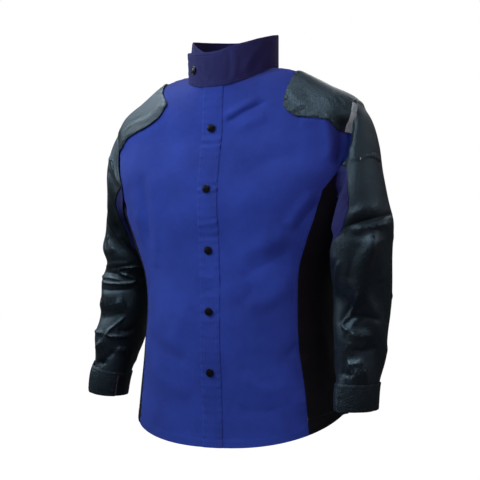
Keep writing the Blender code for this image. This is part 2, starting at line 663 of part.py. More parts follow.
def place_cap(name, data, seat, outward):
    """Sets a cap on its seat, facing outward."""
    item = bpy.data.objects.new(name, data)
    bpy.context.scene.collection.objects.link(item)
    turn = Vector((0, 0, 1)).rotation_difference(Vector(outward))
    item.matrix_world = Matrix.Translation(Vector(seat)) @ turn.to_matrix().to_4x4()


def seat_on(surface, first, second, lift):
    """Seat point and outward direction on a surface."""
    low = lifted(surface, np.array(first), np.array(second), np.array(0.0))
    high = lifted(surface, np.array(first), np.array(second), np.array(1.0))
    outward = high - low
    return low + outward * lift, outward


def make_snaps():
    """Five caps down the placket and one on the collar tab."""
    data = cap_mesh("snap_cap")
    levels = np.linspace(0.0, HEM_LEVEL, 1201)
    heights = torso_point(levels, np.zeros_like(levels))[:, 2]
    for number in range(SNAP_COUNT):
        height = -(FIRST_SNAP_DROP + number * SNAP_PITCH)
        level = float(np.interp(-height, -heights, levels))
        seat, outward = seat_on(body_surface(1), level, 0.0, LAY_GAP + PLACKET_WALL + SNAP_GAP)
        place_cap(f"snap_{number + 1}", data, seat, outward)
    seat, outward = seat_on(collar_surface(), COLLAR_SNAP_SHARE, COLLAR_SNAP_ANGLE, SNAP_GAP)
    place_cap("collar_snap", data, seat, outward)


def main():
    """Removes what is there and makes every piece."""
    for item in list(bpy.data.objects):
        bpy.data.objects.remove(item)
    make_front("front_left", 1)
    make_front("front_right", -1)
    make_back()
    make_placket()
    make_collar()
    make_strip()
    make_welt()
    make_snaps()
    for word, side in (("left", 1), ("right", -1)):
        make_side_panel(f"side_panel_{word}", side)
        make_yoke(f"shoulder_yoke_{word}", side)
        make_sleeve(word, side)
        make_cuff(word, side)


main()
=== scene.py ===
# Welding jacket: fine cloth and leather, seams, stitches, snaps, studio light and camera.
# Metres, +Z up, front towards -Y, wearer's left towards +X.
import math
from collections import namedtuple

import bmesh
import bpy
import numpy as np
from mathutils import Matrix, Vector


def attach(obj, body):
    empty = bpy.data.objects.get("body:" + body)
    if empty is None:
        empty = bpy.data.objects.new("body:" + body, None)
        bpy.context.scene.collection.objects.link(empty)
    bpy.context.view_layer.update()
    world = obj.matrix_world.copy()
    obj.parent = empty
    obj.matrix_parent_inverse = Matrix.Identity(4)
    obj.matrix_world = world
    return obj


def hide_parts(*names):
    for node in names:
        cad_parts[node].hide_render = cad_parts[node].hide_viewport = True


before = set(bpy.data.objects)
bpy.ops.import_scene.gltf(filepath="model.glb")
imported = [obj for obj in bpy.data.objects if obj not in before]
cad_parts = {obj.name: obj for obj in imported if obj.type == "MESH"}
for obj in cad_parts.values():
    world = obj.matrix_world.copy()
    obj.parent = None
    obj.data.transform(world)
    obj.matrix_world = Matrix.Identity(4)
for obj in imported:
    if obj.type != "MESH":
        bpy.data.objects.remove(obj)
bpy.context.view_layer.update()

# Main sizes
BODY_LENGTH = 0.775          # neck to front hem
CHEST_HALF_WIDTH = 0.275
CHEST_HALF_DEPTH = 0.140
SLEEVE_HALF_DEPTH = 0.080
LEAN = 0.030                 # rise of the wearer's left side for each metre across
CLOTH = 0.0015
LEATHER = 0.0020
COLLAR_WALL = 0.0030
SLEEVE_GAP = 0.0016          # between the body and the sleeve that laps over its armhole
YOKE_GAPS = {1: 0.0019, -1: 0.0027}    # under the left and right yoke
LAY_GAP = 0.0009             # under the pocket welt
STRIP_GAP = 0.0007           # under the armhole strip
STRIP_WALL = 0.0012
STRIP_ROLL = 0.0080          # the strip's outer edge climbs onto the sleeve's rolled edge
COLLAR_SINK = 0.0020         # how far the collar's foot reaches below the neck edge it is sewn to
PLACKET_WIDTH = 0.045
PLACKET_STAND = 0.0021       # outer face of the placket over the front under it
PLACKET_TOP_LEVEL = 0.12
FRONT_START_ANGLE = 0.4      # each front starts this far from the middle, under the placket
SNAP_COUNT = 5
SNAP_RADIUS = 0.0085
SNAP_HEIGHT = 0.0040
CUFF_HEIGHT = 0.050
CUFF_GAP = 0.0011            # between the cuff's layers
CUFF_STARTS = {1: 52.0, -1: 80.0}      # angle of the band's under end on the left and right
CUFF_TURN = 423.0            # the band's length round the wrist
CUFF_RISE_BEFORE = 40.0      # the band starts to climb this many degrees before its under end
CUFF_RISE_ANGLE = 30.0       # and climbs over this many
CUFF_LEANS = {1: 0.0, -1: 0.42}        # how far, in stations, a cuff's outer side is drawn up
LEAN_TURN = 10.0             # the angle that is drawn up most
LEAN_STATIONS = (7.0, 2.5)   # where the drawing up starts, and over how many stations it grows
CUFF_CREASES = 0.35          # share of the sleeve's creases that the cuff shows
TAPE_SHOWN_ANGLE = 4.5       # how far the tape shows past the band's end
TAPE_LENGTH_ANGLE = 34.0
TAPE_MARGIN = 0.005          # from the band's edges to the tape
TAPE_WALL = 0.0010
WELT_HEIGHT = 0.009
WELT_STATIONS = (2.48, 2.72)           # the welt's front and back ends on the left sleeve
WELT_ANGLES = (46.0, -14.0)
WELT_WALL = 0.0012
TACK_HALF_LENGTH, TACK_HALF_WIDTH, TACK_RADIUS, TACK_LIFT = 0.0030, 0.0007, 0.00036, 0.0004
WELT_MEASURE_STATION = 2.22  # where its height is turned into stations
WRIST_SWING = 0.016          # how far the right sleeve's end stands further out
SWING_STATIONS = (5.5, 4.5)  # where this starts, and over how many stations it grows
HEM_DEPTH = 0.018
HEM_RISE = 0.0006
HEM_STITCH_DEPTH = 0.016     # the hem's stitched groove, from the edge
HEM_GROOVE = 0.0007
HEM_GROOVE_WIDTH = 0.0012
FOLD_HEIGHT = 0.010

# Fine mesh
CLOTH_STEP = 0.0040
BACK_STEP = 0.0050
SLEEVE_STEP = 0.0034
FOLDED_STEP = 0.0023         # down the folded lower sleeve
YOKE_STEP = 0.0028
CUFF_STEP = 0.0038
COLLAR_STEPS = (0.0030, 0.0034)        # up and round the collar
COLLAR_ROW_ANGLE = 110.0     # its rows are spaced where it is high
FAR_FROM_SEAM = 0.1
NEAR_EDGE = np.array([0.0, 0.0008, 0.0020, 0.0036, 0.0052, 0.0068, 0.0084, 0.0100, 0.0125])
STITCH_COLUMNS = (3, 6)      # places in NEAR_EDGE that carry a row of stitches
EDGE_ROLL = 0.0009           # how far a sewn edge turns down
EDGE_ROLL_WIDTH = 0.0018
GROOVE = 0.00035
GROOVE_WIDTH = 0.0011
PUCKER = 0.0003
PUCKER_PITCH = 0.017
PUCKER_REACH = 0.013
CREASE_REACH = 3.2           # a crease is followed this many widths to each side
CREASE_TAPER = 0.22          # share of a crease in which each end fades
POLISHED_RISE = 0.0040       # a fold this high is rubbed to full shine
SHARP_ANGLE = math.radians(60.0)
STITCH_LENGTH, STITCH_PITCH, STITCH_RADIUS, STITCH_LIFT = 0.0026, 0.0036, 0.00034, 0.00012

# Torso sections from neck to hem. Widths are shares of CHEST_HALF_WIDTH, depths of CHEST_HALF_DEPTH
# and heights of BODY_LENGTH.
TORSO_COLUMNS = ("half_width", "y_front", "y_side", "y_back", "z_front", "z_side", "z_back", "squareness")
TORSO = np.array([
    (0.335, -0.82, -0.21, 0.5, -0.067, -0.017, 0, 2), (0.527, -0.836, -0.3, 0.64, -0.114, -0.034, -0.028, 2.05),
    (0.76, -0.843, -0.21, 0.77, -0.152, -0.079, -0.068, 2.2),
    (0.955, -0.85, -0.1, 0.87, -0.196, -0.121, -0.121, 2.4),
    (0.993, -0.914, -0.04, 0.957, -0.245, -0.194, -0.194, 2.5), (1, -0.986, 0, 1, -0.31, -0.277, -0.277, 2.5),
    (0.96, -0.986, 0, 0.986, -0.387, -0.374, -0.374, 2.4), (0.884, -0.943, 0, 0.957, -0.467, -0.458, -0.458, 2.35),
    (0.782, -0.921, 0, 0.936, -0.542, -0.542, -0.542, 2.3), (0.749, -0.914, 0, 0.929, -0.632, -0.632, -0.632, 2.3),
    (0.767, -0.907, 0, 0.943, -0.742, -0.742, -0.742, 2.3), (0.818, -0.857, 0, 0.945, -0.865, -0.85, -0.855, 2.3),
    (0.85, -0.829, 0, 0.93, -1, -0.922, -0.945, 2.3),
])
HEM_LEVEL = 12.0

# Armhole, a row each 30 degrees from the shoulder point forwards: torso level, its angle left and right
ARMHOLE = np.array([
    (3.1, 90, 90), (3.4, 82, 77), (3.95, 77, 69), (4.6, 74, 63),
    (5.2, 63, 56), (5.75, 66, 62), (6.1, 90, 90), (5.8, 110, 110),
    (5.2, 119, 119), (4.5, 118, 118), (3.85, 113, 113), (3.35, 103, 103),
])
ARMHOLE_MIDDLE = (4.6, 90.0)
ARMHOLE_EDGE = 1.0           # the body's edge round the armhole
SLEEVE_EDGE = 1.05           # the sleeve laps over the body to here
YOKE_EDGE = 1.062
STRIP_OUTER_EDGE = 1.07
STRIP_INNER_EDGE = (1.18, 1.34)
STRIP_TURNS = (22.0, 68.0)
SEAM_TURN = 120.0            # where the front side seam meets the armhole
BACK_SEAM_TURN = 240.0

# Side seams: torso level, angle of the left front seam, of the right front seam, of both back seams
SIDE_SEAMS = np.array([
    (5.2, 63, 56, 119), (5.6, 54.5, 58, 124), (7, 51, 60, 127), (9, 53.5, 60, 127), (12, 53, 60, 127),
])
# Yoke's inner edge from its lower front corner over the shoulder to the back: torso level, left and right angle
YOKE_INNER = np.array([
    (2.75, 41, 40.5), (2.4, 40, 38), (2, 43, 37.5), (1.6, 52, 41), (1.25, 68, 49),
    (1.1, 90, 90), (1.25, 113, 113), (1.6, 128, 128), (2, 136, 136), (2.75, 140, 140),
])
# Yoke's lower edge from that corner to the armhole, in front and at the back
YOKE_FRONT = np.array([(2.75, 41), (2.98, 45), (3.35, 52.5), (3.85, 60), (4.12, 69)])
YOKE_BACK = np.array([(2.75, 140), (3, 136), (3.35, 129), (3.75, 121), (3.95, 114)])
YOKE_FRONT_TURN = 66.0
YOKE_BACK_TURN = -64.0

# Sleeve rings from shoulder to wrist. Widths are shares of CHEST_HALF_WIDTH, heights of BODY_LENGTH,
# middles of CHEST_HALF_DEPTH and depths of SLEEVE_HALF_DEPTH.
SLEEVE_COLUMNS = ("z_outer", "x_outer", "z_inner", "x_inner", "y_left", "y_right", "half_depth")
SLEEVE = np.array([
    (-0.128, 0.96, -0.387, 0.958, -0.02, -0.04, 0.88), (-0.161, 1.04, -0.403, 0.953, -0.06, 0, 0.97),
    (-0.213, 1.102, -0.419, 0.938, -0.14, 0.07, 1.02), (-0.29, 1.17, -0.439, 0.92, -0.29, 0.2, 1),
    (-0.374, 1.242, -0.467, 0.895, -0.39, 0.32, 0.97), (-0.445, 1.29, -0.506, 0.87, -0.43, 0.39, 0.94),
    (-0.535, 1.287, -0.555, 0.865, -0.42, 0.36, 0.88), (-0.632, 1.276, -0.635, 0.885, -0.39, 0.25, 0.82),
    (-0.735, 1.26, -0.735, 0.91, -0.5, 0.09, 0.74), (-0.826, 1.245, -0.826, 0.943, -0.66, -0.07, 0.61),
    (-0.89, 1.24, -0.89, 0.958, -0.72, -0.12, 0.56),
])
WRIST_STATION = 10.0
SLEEVE_END = 9.35
BLEND_STATIONS = 2.0         # the sleeve leaves the body's shape within these stations
# Blue panel inside the upper sleeve: station, front edge on the left sleeve and on the right, back edge
SLEEVE_PANEL = np.array([
    (0, 108, 118, 250), (0.6, 102, 120, 254), (1.2, 93, 122, 256), (1.8, 86, 124, 258),
    (2.6, 82, 126, 262), (3.3, 80, 127, 264), (3.8, 84, 128, 265), (4.2, 94, 128, 266), (4.6, 108, 129, 265),
])
PANEL_END = 4.6

# The collar along its spiral: angle, rim height, how far the rim and the foot stand out, in millimetres
COLLAR = np.array([
    (-50, 21.7, 6.5, 4.2), (-44, 21.3, 5.6, 4.2), (-36, 19.9, 4.8, 4.2), (-25, 18.2, 4.2, 4.2),
    (-12, 16.4, 4.2, 4.2), (0, 16, 4.2, 4.2), (10, 18.4, 4, 4), (20, 23.7, 3.8, 3.8), (30, 29.6, 3.2, 3.2),
    (40, 33.7, 2.5, 2.5), (50, 38.5, 1.8, 1.8), (60, 43.5, 1, 1), (75, 49.5, 0.4, 0.4), (90, 54.9, 0, 0),
    (115, 62.5, 0, 0), (150, 61.8, 0, 0), (180, 62.1, 0, 0), (205, 61.4, 0, 0),
    (230, 60.1, -1, 0), (250, 57.7, -2, 0), (265, 55.3, -3, 0), (280, 52.2, -4.5, 0),
    (292, 49.6, -6.5, 0), (300, 46.9, -6.5, 0), (308, 43, -5, 0), (318, 37.4, -3, 0),
    (328, 30.6, -2, 0), (338, 23.3, -1, 0), (345, 18.1, 0, 0),
])
# A snap cap from its middle out: dome, groove, rolled rim and underside
SNAP_PROFILE = ((0, 1), (0.3, 0.97), (0.55, 0.88), (0.72, 0.74), (0.78, 0.66), (0.83, 0.66), (0.9, 0.72),
                (0.97, 0.62), (1, 0.42), (0.97, 0.18), (0.88, 0), (0, 0))

# Folds. Row or station and angle of the middle, slant in rows for each 60 degrees, width in rows, span in
# degrees, and height as a share of FOLD_HEIGHT.
TORSO_FOLDS = np.array([
    (5.6, 30, -0.9, 0.55, 34, 0.35), (4.6, 22, -0.7, 0.5, 26, -0.3), (6.9, -58, 1.2, 0.6, 26, -0.45),
    (8.6, 36, 0.6, 0.6, 34, 0.3), (9.6, -40, -0.8, 0.6, 36, 0.3), (8.2, 150, 1, 0.6, 34, 0.35),
    (8.4, 215, -1, 0.6, 34, 0.35), (10.4, 180, 0, 0.8, 50, -0.25),
])
SLEEVE_FOLDS = {1: np.array([
    (4.9, 60, -0.5, 0.45, 60, -0.7), (5.5, 45, 0.7, 0.5, 60, 0.8), (6.3, 95, -0.8, 0.45, 55, -0.45),
    (6.9, 60, -1.1, 0.4, 60, 0.7), (7.4, 80, -0.9, 0.4, 70, -0.8), (7.9, 60, -0.3, 0.4, 80, 0.6),
    (8.5, 90, 0.4, 0.35, 80, -0.6), (5.4, 220, 0.6, 0.6, 60, -0.5), (7.3, 250, 0.8, 0.6, 70, 0.5),
]), -1: np.array([
    (5.3, 70, 0, 0.4, 80, 0.8), (5.9, 60, 0.3, 0.4, 70, -0.6), (6.4, 50, 0.5, 0.4, 60, 0.6),
    (7.2, 70, -0.5, 0.35, 80, -0.6), (7.8, 60, 0.3, 0.4, 70, 0.7), (8.4, 80, -0.3, 0.35, 80, -0.6),
    (6.2, 230, 0.6, 0.6, 60, -0.5), (7.6, 250, -0.8, 0.6, 70, 0.5),
])}

# Creases: height and width in millimetres, a hollow has a negative height; then the places it runs through
BODY_CREASES = (
    (-2.6, 7, ((2.4, 4), (2.1, 11), (1.84, 18), (1.62, 30), (1.5, 42))),
    (2.6, 9, ((2.08, 4), (1.8, 12), (1.5, 22), (1.28, 36))), (2, 12, ((2.85, 8), (2.5, 18), (2.3, 30))),
    (3.5, 13, ((2.95, 54), (3.6, 56.5), (4.2, 58), (4.9, 57))),
    (-7, 17, ((3.3, 68), (3.9, 69), (4.5, 68), (5.1, 62))),
    (-3, 13, ((4.6, -32), (5.4, -31.5), (6.2, -32.5), (7.3, -38.5))),
    (1.8, 14, ((4.5, -25), (5.6, -24.5), (6.6, -27), (7.4, -31))), (1.6, 12, ((5.2, -41), (6.2, -40), (7.2, -47))),
    (-2.4, 9, ((5.6, -62), (6.1, -52), (6.8, -45))), (-2.2, 10, ((5.9, 56), (6.3, 48), (6.9, 42))),
    (2.2, 12, ((5.6, 50), (6.1, 43), (6.8, 36))), (2.4, 18, ((7.6, 12), (7.2, 26), (6.8, 40))),
    (-2, 16, ((8.3, 14), (7.9, 28), (7.4, 44))), (2, 18, ((9.1, 16), (8.9, 32), (8.4, 48))),
    (-2, 18, ((10.4, -10), (10.1, -30), (9.6, -50))), (2, 20, ((11, -8), (10.8, -28), (10.3, -48))),
    (1.8, 16, ((10.6, 12), (10.9, 30), (10.7, 46))), (-1.8, 14, ((11.2, 10), (11.3, 28), (11.1, 46))),
    (-3, 14, ((4.2, 128), (5.2, 140), (6.4, 146))), (3, 16, ((4, 138), (5.2, 150), (6.6, 156))),
    (-3, 14, ((4.2, 232), (5.2, 220), (6.4, 214))), (3, 16, ((4, 222), (5.2, 210), (6.6, 204))),
    (2.6, 18, ((7.4, 140), (7.9, 165), (7.7, 190))), (-2.8, 16, ((7.9, 140), (8.4, 168), (8.2, 200))),
    (2.4, 18, ((8.5, 150), (8.95, 180), (8.7, 215))), (-2.2, 18, ((9.2, 145), (9.6, 175), (9.4, 212))),
)
PLACKET_CREASES = (
    (1.3, 4, ((3.18, -12), (3.3, 2), (3.24, 13))), (-1.2, 4, ((3.34, -12), (3.46, 2), (3.4, 13))),
    (1.2, 4, ((3.72, -9), (3.66, 10))), (-1.3, 3.5, ((5.28, -11), (5.22, 2), (5.34, 12))),
    (1.3, 4, ((5.42, -11), (5.36, 3), (5.48, 12))), (1.4, 4, ((6.6, -9), (6.42, 2), (6.3, 12))),
    (-1.3, 3.5, ((6.9, -11), (6.86, 2), (6.94, 12))), (1.2, 4, ((8.2, -10), (8.3, 10))),
    (-1.3, 4, ((8.66, -12), (8.62, 2), (8.7, 13))), (1.3, 4, ((8.8, -12), (8.78, 12))),
    (-1.3, 3.5, ((9.26, -12), (9.22, 13))), (1.2, 4, ((9.4, -10), (9.38, 12))),
)
COLLAR_CREASES = (
    (-1.8, 4, ((0.62, -20), (0.45, -16), (0.2, -6))), (1.6, 5, ((0.7, -14), (0.48, -10), (0.24, -1))),
    (-1.6, 4, ((1, 20), (0.5, 22), (0.05, 19))), (1.4, 6, ((1, 27), (0.5, 29), (0.05, 27))),
    (1.6, 7, ((0.15, 36), (0.6, 52), (0.9, 74))), (-1.6, 7, ((0.1, 48), (0.45, 66), (0.8, 92))),
    (1.4, 8, ((0.8, 150), (0.4, 175), (0.2, 200))),
)
SLEEVE_CREASES = {1: (
    (3.6, 9, ((0.12, -26), (0.12, -6), (0.12, 16), (0.14, 38))),
    (-4, 12, ((0, 48), (0.1, 68), (0.4, 86), (0.9, 94), (1.4, 92))),
    (7, 26, ((1.3, 121), (2.2, 124), (3.3, 132), (4.2, 142))), (-9, 17, ((-0.1, 112), (0.05, 132), (0.25, 152))),
    (-5, 5, ((4.4, 100), (4.52, 72), (4.64, 44), (4.62, 10), (4.5, -24))),
    (3.5, 9, ((4.7, 92), (4.86, 62), (4.92, 30), (4.86, 0))), (3, 12, ((4.1, 84), (4.2, 50), (4.2, 10))),
    (8, 13, ((4.9, 36), (5.5, 47), (6.16, 60), (6.7, 70), (7.2, 80))), (-4, 13, ((5.2, 66), (5.8, 80), (6.5, 92))),
    (4.6, 3.4, ((6.6, 69), (6.88, 74), (7.1, 80), (7.3, 94), (7.44, 105), (7.58, 98), (7.64, 82))),
    (-4.5, 6, ((6.9, 88), (7.16, 100), (7.5, 118))), (7, 22, ((8.56, 40), (8.6, 72), (8.56, 104))),
    (3.5, 7, ((7, 60), (7.3, 74), (7.62, 92), (7.8, 100))),
    (-4, 7, ((7.3, 96), (7.28, 70), (7.34, 44), (7.42, 20))), (4, 9, ((7.66, 92), (7.74, 66), (7.78, 36))),
    (-3, 7, ((8.06, 84), (8.1, 52), (8.04, 20))), (3.5, 8, ((8.4, 100), (8.42, 76), (8.36, 50))),
    (-3.5, 6, ((8.66, 120), (8.7, 96), (8.74, 70))), (3, 7, ((5.6, 100), (6.2, 118), (6.8, 128))),
    (-3, 8, ((2.9, 96), (3.5, 84), (4.1, 70))), (2.5, 9, ((1.2, 66), (1.8, 64), (2.4, 58))),
), -1: (
    (3.4, 4.5, ((0.16, 118), (0.4, 92), (0.9, 64), (1.7, 52))),
    (-3, 6, ((0.6, 118), (0.8, 96), (1.3, 78), (2, 66))), (3, 9, ((2.8, 76), (3.6, 80), (4.4, 92))),
    (3, 3.2, ((3.4, 60), (3.7, 67), (4.2, 93), (4.86, 124.5), (5.12, 142))),
    (-4, 8, ((3.6, 92), (4.3, 118), (4.9, 142))), (3, 8, ((4.6, 60), (4.9, 76), (5.3, 90))),
    (3.4, 5, ((5.94, 30), (5.8, 62), (5.6, 106), (5.42, 128))),
    (4.6, 3, ((5.58, 168), (5.64, 148), (5.7, 126), (5.82, 101), (6.02, 102), (6.1, 127.5),
                (6.28, 133), (6.38, 106.5), (6.4, 80), (6.38, 54.5), (6.34, 30))),
    (3.4, 3.2, ((6.18, 26), (6.22, 50), (6.22, 86), (6.28, 106))),
    (3.2, 3.2, ((6.22, 172), (6.24, 156), (6.26, 132))), (-4, 5, ((5.98, 114), (5.94, 140), (5.92, 168))),
    (-4, 4.5, ((6.06, 36), (6.04, 70), (6.08, 96))), (-3.6, 5, ((6.54, 40), (6.58, 80), (6.54, 120), (6.4, 150))),
    (6.5, 20, ((7.02, 30), (7.06, 84), (7, 130))), (-4, 10, ((7.4, 50), (7.34, 90), (7.22, 132))),
    (4.4, 3.4, ((7.3, 132), (7.48, 119.5), (7.64, 104), (7.8, 95), (7.88, 106), (7.9, 130),
                (7.88, 161))),
    (3.4, 4, ((7.72, 44), (7.76, 60), (7.8, 88))), (-4.4, 5, ((7.68, 116), (7.74, 138), (7.72, 162))),
    (7.5, 15, ((8.02, 66), (8.34, 82), (8.66, 90))), (-4.4, 5, ((8.26, 124), (8.52, 106), (8.74, 88))),
    (3, 6, ((8.24, 126), (8.3, 140), (8.3, 158))), (-2.6, 9, ((2.4, 96), (3.2, 100), (4, 110))),
)}
YOKE_CREASES = {1: (
    (2.2, 11, ((1.4, 56), (2, 52), (2.6, 46))), (-1.2, 7, ((1.6, 68), (2.2, 60), (2.9, 52))),
    (1.1, 6, ((2.3, 70), (2.7, 66), (3.3, 64))), (-1.4, 5, ((2.5, 78), (2.9, 74), (3.4, 70))),
), -1: (
    (1.8, 8, ((2, -44), (2.5, -50), (3, -56))), (-1.6, 6, ((2, -52), (2.5, -58), (3.1, -62))),
    (1.8, 8, ((3, -64), (3.3, -70), (3.6, -76))),
)}

Surface = namedtuple("Surface", "point facing")        # a function that gives points, the sign of its outer side
Piece = namedtuple("Piece", "outer normals")
Look = namedtuple("Look", "slot finish")


def smoothed(share):
    """Eases a share from 0 to 1."""
    share = np.clip(share, 0.0, 1.0)
    return share * share * (3.0 - 2.0 * share)


def smooth_rows(table, place, around=False):
    """Reads a table at fractional rows along a smooth curve; round tables close on themselves."""
    count = len(table)
    place = np.asarray(place, float)
    place = place % count if around else np.clip(place, 0, count - 1)
    row = place.astype(int) if around else np.minimum(place.astype(int), count - 2)
    part = (place - row)[..., None]
    before, here, after, beyond = (
        table[(row + step) % count if around else np.clip(row + step, 0, count - 1)] for step in (-1, 0, 1, 2))
    lift_here, lift_after = (after - before) / 2, (beyond - here) / 2
    square, cube = part ** 2, part ** 3
    return ((2 * cube - 3 * square + 1) * here + (cube - 2 * square + part) * lift_here
            + (3 * square - 2 * cube) * after + (cube - square) * lift_after)


def named_row(columns, table, place):
    """A table's smooth row by the names of its columns."""
    return dict(zip(columns, np.moveaxis(smooth_rows(table, place), -1, 0)))


def read_by_first(table, key):
    """Reads a table's other columns at a value of its first column, with straight lines between rows."""
    return [np.interp(key, table[:, 0], column) for column in table.T[1:]]


def fold_height(folds, along, around):
    """Height of all folds at a place."""
    total = 0.0
    for middle, facing, slant, width, span, height in folds:
        turn = (around - facing + 180.0) % 360.0 - 180.0
        off = along - middle - slant * turn / 60.0
        total = total + height * np.exp(-(off / width) ** 2 - (turn / span) ** 2)
    return total * FOLD_HEIGHT


def torso_point(level, angle):
    """Outer face of the body at a section level and an angle from the front middle towards the left."""
    level, angle = np.broadcast_arrays(np.asarray(level, float), np.asarray(angle, float))
    row = named_row(TORSO_COLUMNS, TORSO, level)
    sine, cosine = np.sin(np.radians(angle)), np.cos(np.radians(angle))
    power = 2.0 / row["squareness"]
    fold = fold_height(TORSO_FOLDS, level, angle)
    side = np.sign(sine) * np.abs(sine) ** power
    ahead = np.sign(cosine) * np.abs(cosine) ** power
    reach = np.where(cosine > 0, row["y_side"] - row["y_front"], row["y_back"] - row["y_side"])
    x = CHEST_HALF_WIDTH * row["half_width"] * side + fold * sine
    y = CHEST_HALF_DEPTH * (row["y_side"] - reach * ahead) - fold * cosine
    drop = (row["z_side"] + (row["z_front"] - row["z_side"]) * np.maximum(cosine, 0.0) ** 1.2
            + (row["z_back"] - row["z_side"]) * np.maximum(-cosine, 0.0) ** 1.2)
    return np.stack([x, y, BODY_LENGTH * drop + LEAN * x], -1)


def armhole_place(turn, spread, side):
    """Torso level and angle of a point round an armhole, spread about its middle."""
    level, left, right = np.moveaxis(smooth_rows(ARMHOLE, np.asarray(turn, float) / 30.0, around=True), -1, 0)
    angle = left if side > 0 else right
    return (ARMHOLE_MIDDLE[0] + (level - ARMHOLE_MIDDLE[0]) * spread,
            ARMHOLE_MIDDLE[1] + (angle - ARMHOLE_MIDDLE[1]) * spread)


def lifted(surface, first, second, lift):
    """Points of a surface moved off it along its outward direction."""
    step = 0.02
    along = surface.point(first + step, second) - surface.point(first - step, second)
    across = surface.point(first, second + step * 20) - surface.point(first, second - step * 20)
    normal = np.cross(along, across) * surface.facing
    length = np.linalg.norm(normal, axis=-1, keepdims=True)
    return surface.point(first, second) + normal / np.maximum(length, 1e-12) * np.asarray(lift)[..., None]


def body_surface(side):
    """The body's outer face, with angles from the front middle towards the left (1) or the right (-1)."""
    return Surface(lambda level, angle: torso_point(level, side * angle), side)


BODY = body_surface(1)


def sleeve_surface(side):
    """Outer face of a sleeve at a station and an angle from its outer side forwards."""
    def ring_point(station, turn):
        row = named_row(SLEEVE_COLUMNS, SLEEVE, station)
        cosine, sine = np.cos(np.radians(turn)), np.sin(np.radians(turn))
        fold = fold_height(SLEEVE_FOLDS[side], station, turn)
        middle = (row["x_outer"] + row["x_inner"]) / 2 * CHEST_HALF_WIDTH
        half = (row["x_outer"] - row["x_inner"]) / 2 * CHEST_HALF_WIDTH
        height = (row["z_outer"] + row["z_inner"]) / 2 * BODY_LENGTH
        rise = (row["z_outer"] - row["z_inner"]) / 2 * BODY_LENGTH
        x = side * (middle + (half + fold) * cosine)
        y = (CHEST_HALF_DEPTH * row["y_left" if side > 0 else "y_right"]
             - (SLEEVE_HALF_DEPTH * row["half_depth"] + fold) * sine)
        return np.stack([x, y, height + rise * cosine + LEAN * x], -1)

    def point(station, turn):
        station, turn = np.broadcast_arrays(np.asarray(station, float), np.asarray(turn, float))
        root = lifted(body_surface(side), *armhole_place(turn, SLEEVE_EDGE, side), SLEEVE_GAP + LEATHER)
        fade = np.clip(1.0 - station / BLEND_STATIONS, 0.0, 1.0) ** 2
        made = ring_point(station, turn) + (root - ring_point(np.zeros_like(station), turn)) * fade[..., None]
        if side < 0:
            made[..., 0] -= WRIST_SWING * smoothed((station - SWING_STATIONS[0]) / SWING_STATIONS[1])
        return made

    return Surface(point, -side)


def collar_point(share, angle):
    """Outer face of the collar: its rim dips in front, and the tab's upper corner stands away."""
    share, angle = np.broadcast_arrays(np.asarray(share, float), np.asarray(angle, float))
    rim, rim_out, foot_out = read_by_first(COLLAR, angle)
    foot = torso_point(np.zeros_like(angle), angle)
    outward = foot[..., :2] - np.array([0.0, TORSO[0, 2] * CHEST_HALF_DEPTH])
    outward = outward / np.linalg.norm(outward, axis=-1, keepdims=True)
    out = (foot_out + (rim_out - foot_out) * np.maximum(share, 0.0) ** 1.5) / 1000.0
    low = foot[..., 2] - COLLAR_SINK
    z = low + (rim / 1000.0 - low) * share
    return np.concatenate([foot[..., :2] + outward * out[..., None], z[..., None]], -1)


def side_seam(level, side):
    """Angles of the front and back side seams at a torso level."""
    left, right, back = read_by_first(SIDE_SEAMS, level)
    return (left if side > 0 else right), back


def panel_edge(side, last_turn, seam):
    """Levels and angles along a body panel's outer edge: shoulder seam, armhole, side seam."""
    shoulder = np.array([0.0, 0.35, 0.75, 1.1, 1.45, 1.85, 2.25, 2.65])
    seam_levels = np.linspace(SIDE_SEAMS[0, 0], HEM_LEVEL, 16)[1:]
    turns = np.linspace(360.0 if seam else 0.0, last_turn, 7)
    arm_level, arm_angle = armhole_place(turns, ARMHOLE_EDGE, side)
    level = np.concatenate([shoulder, arm_level, seam_levels])
    angle = np.concatenate([np.full(len(shoulder), 90.0), arm_angle, side_seam(seam_levels, side)[seam]])
    spots = np.linspace(0.0, len(level) - 1.0, 900)
    return [np.interp(spots, np.arange(len(level)), values) for values in (level, angle)]


def coons(inner, outer, front, back, along, out):
    """Fills the region between four edge lines."""
    a, b = along[:, None, None], out[None, :, None]
    corners = (inner[0] * (1 - b) + outer[0] * b) * (1 - a) + (inner[-1] * (1 - b) + outer[-1] * b) * a
    return inner[:, None] * (1 - b) + outer[:, None] * b + front[None] * (1 - a) + back[None] * a - corners


def stations_long(length, station):
    """Number of stations that a length down the sleeve's outer side takes at a station."""
    high, low = np.interp([station, station + 1.0], np.arange(len(SLEEVE)), SLEEVE[:, 0])
    return length / (BODY_LENGTH * (high - low))


def front_angle(level, x):
    """Torso angle at a distance across from the front middle."""
    row = named_row(TORSO_COLUMNS, TORSO, level)
    share = np.abs(x) / (CHEST_HALF_WIDTH * row["half_width"])
    return np.sign(x) * np.degrees(np.arcsin(share ** (row["squareness"] / 2)))


def line_distance(points, line):
    """Distance from points to a polyline in space, and the share of its length where each is nearest."""
    best = np.full(points.shape[:-1], np.inf)
    where = np.zeros(points.shape[:-1])
    lengths = np.linalg.norm(line[1:] - line[:-1], axis=-1)
    run = np.concatenate([[0.0], np.cumsum(lengths)])
    for number, length in enumerate(lengths):
        start, way = line[number], line[number + 1] - line[number]
        share = np.clip(((points - start) @ way) / max(length ** 2, 1e-12), 0.0, 1.0)
        gap = np.linalg.norm(points - start - share[..., None] * way, axis=-1)
        nearer = gap < best
        best = np.where(nearer, gap, best)
        where = np.where(nearer, (run[number] + share * length) / run[-1], where)
    return best, where


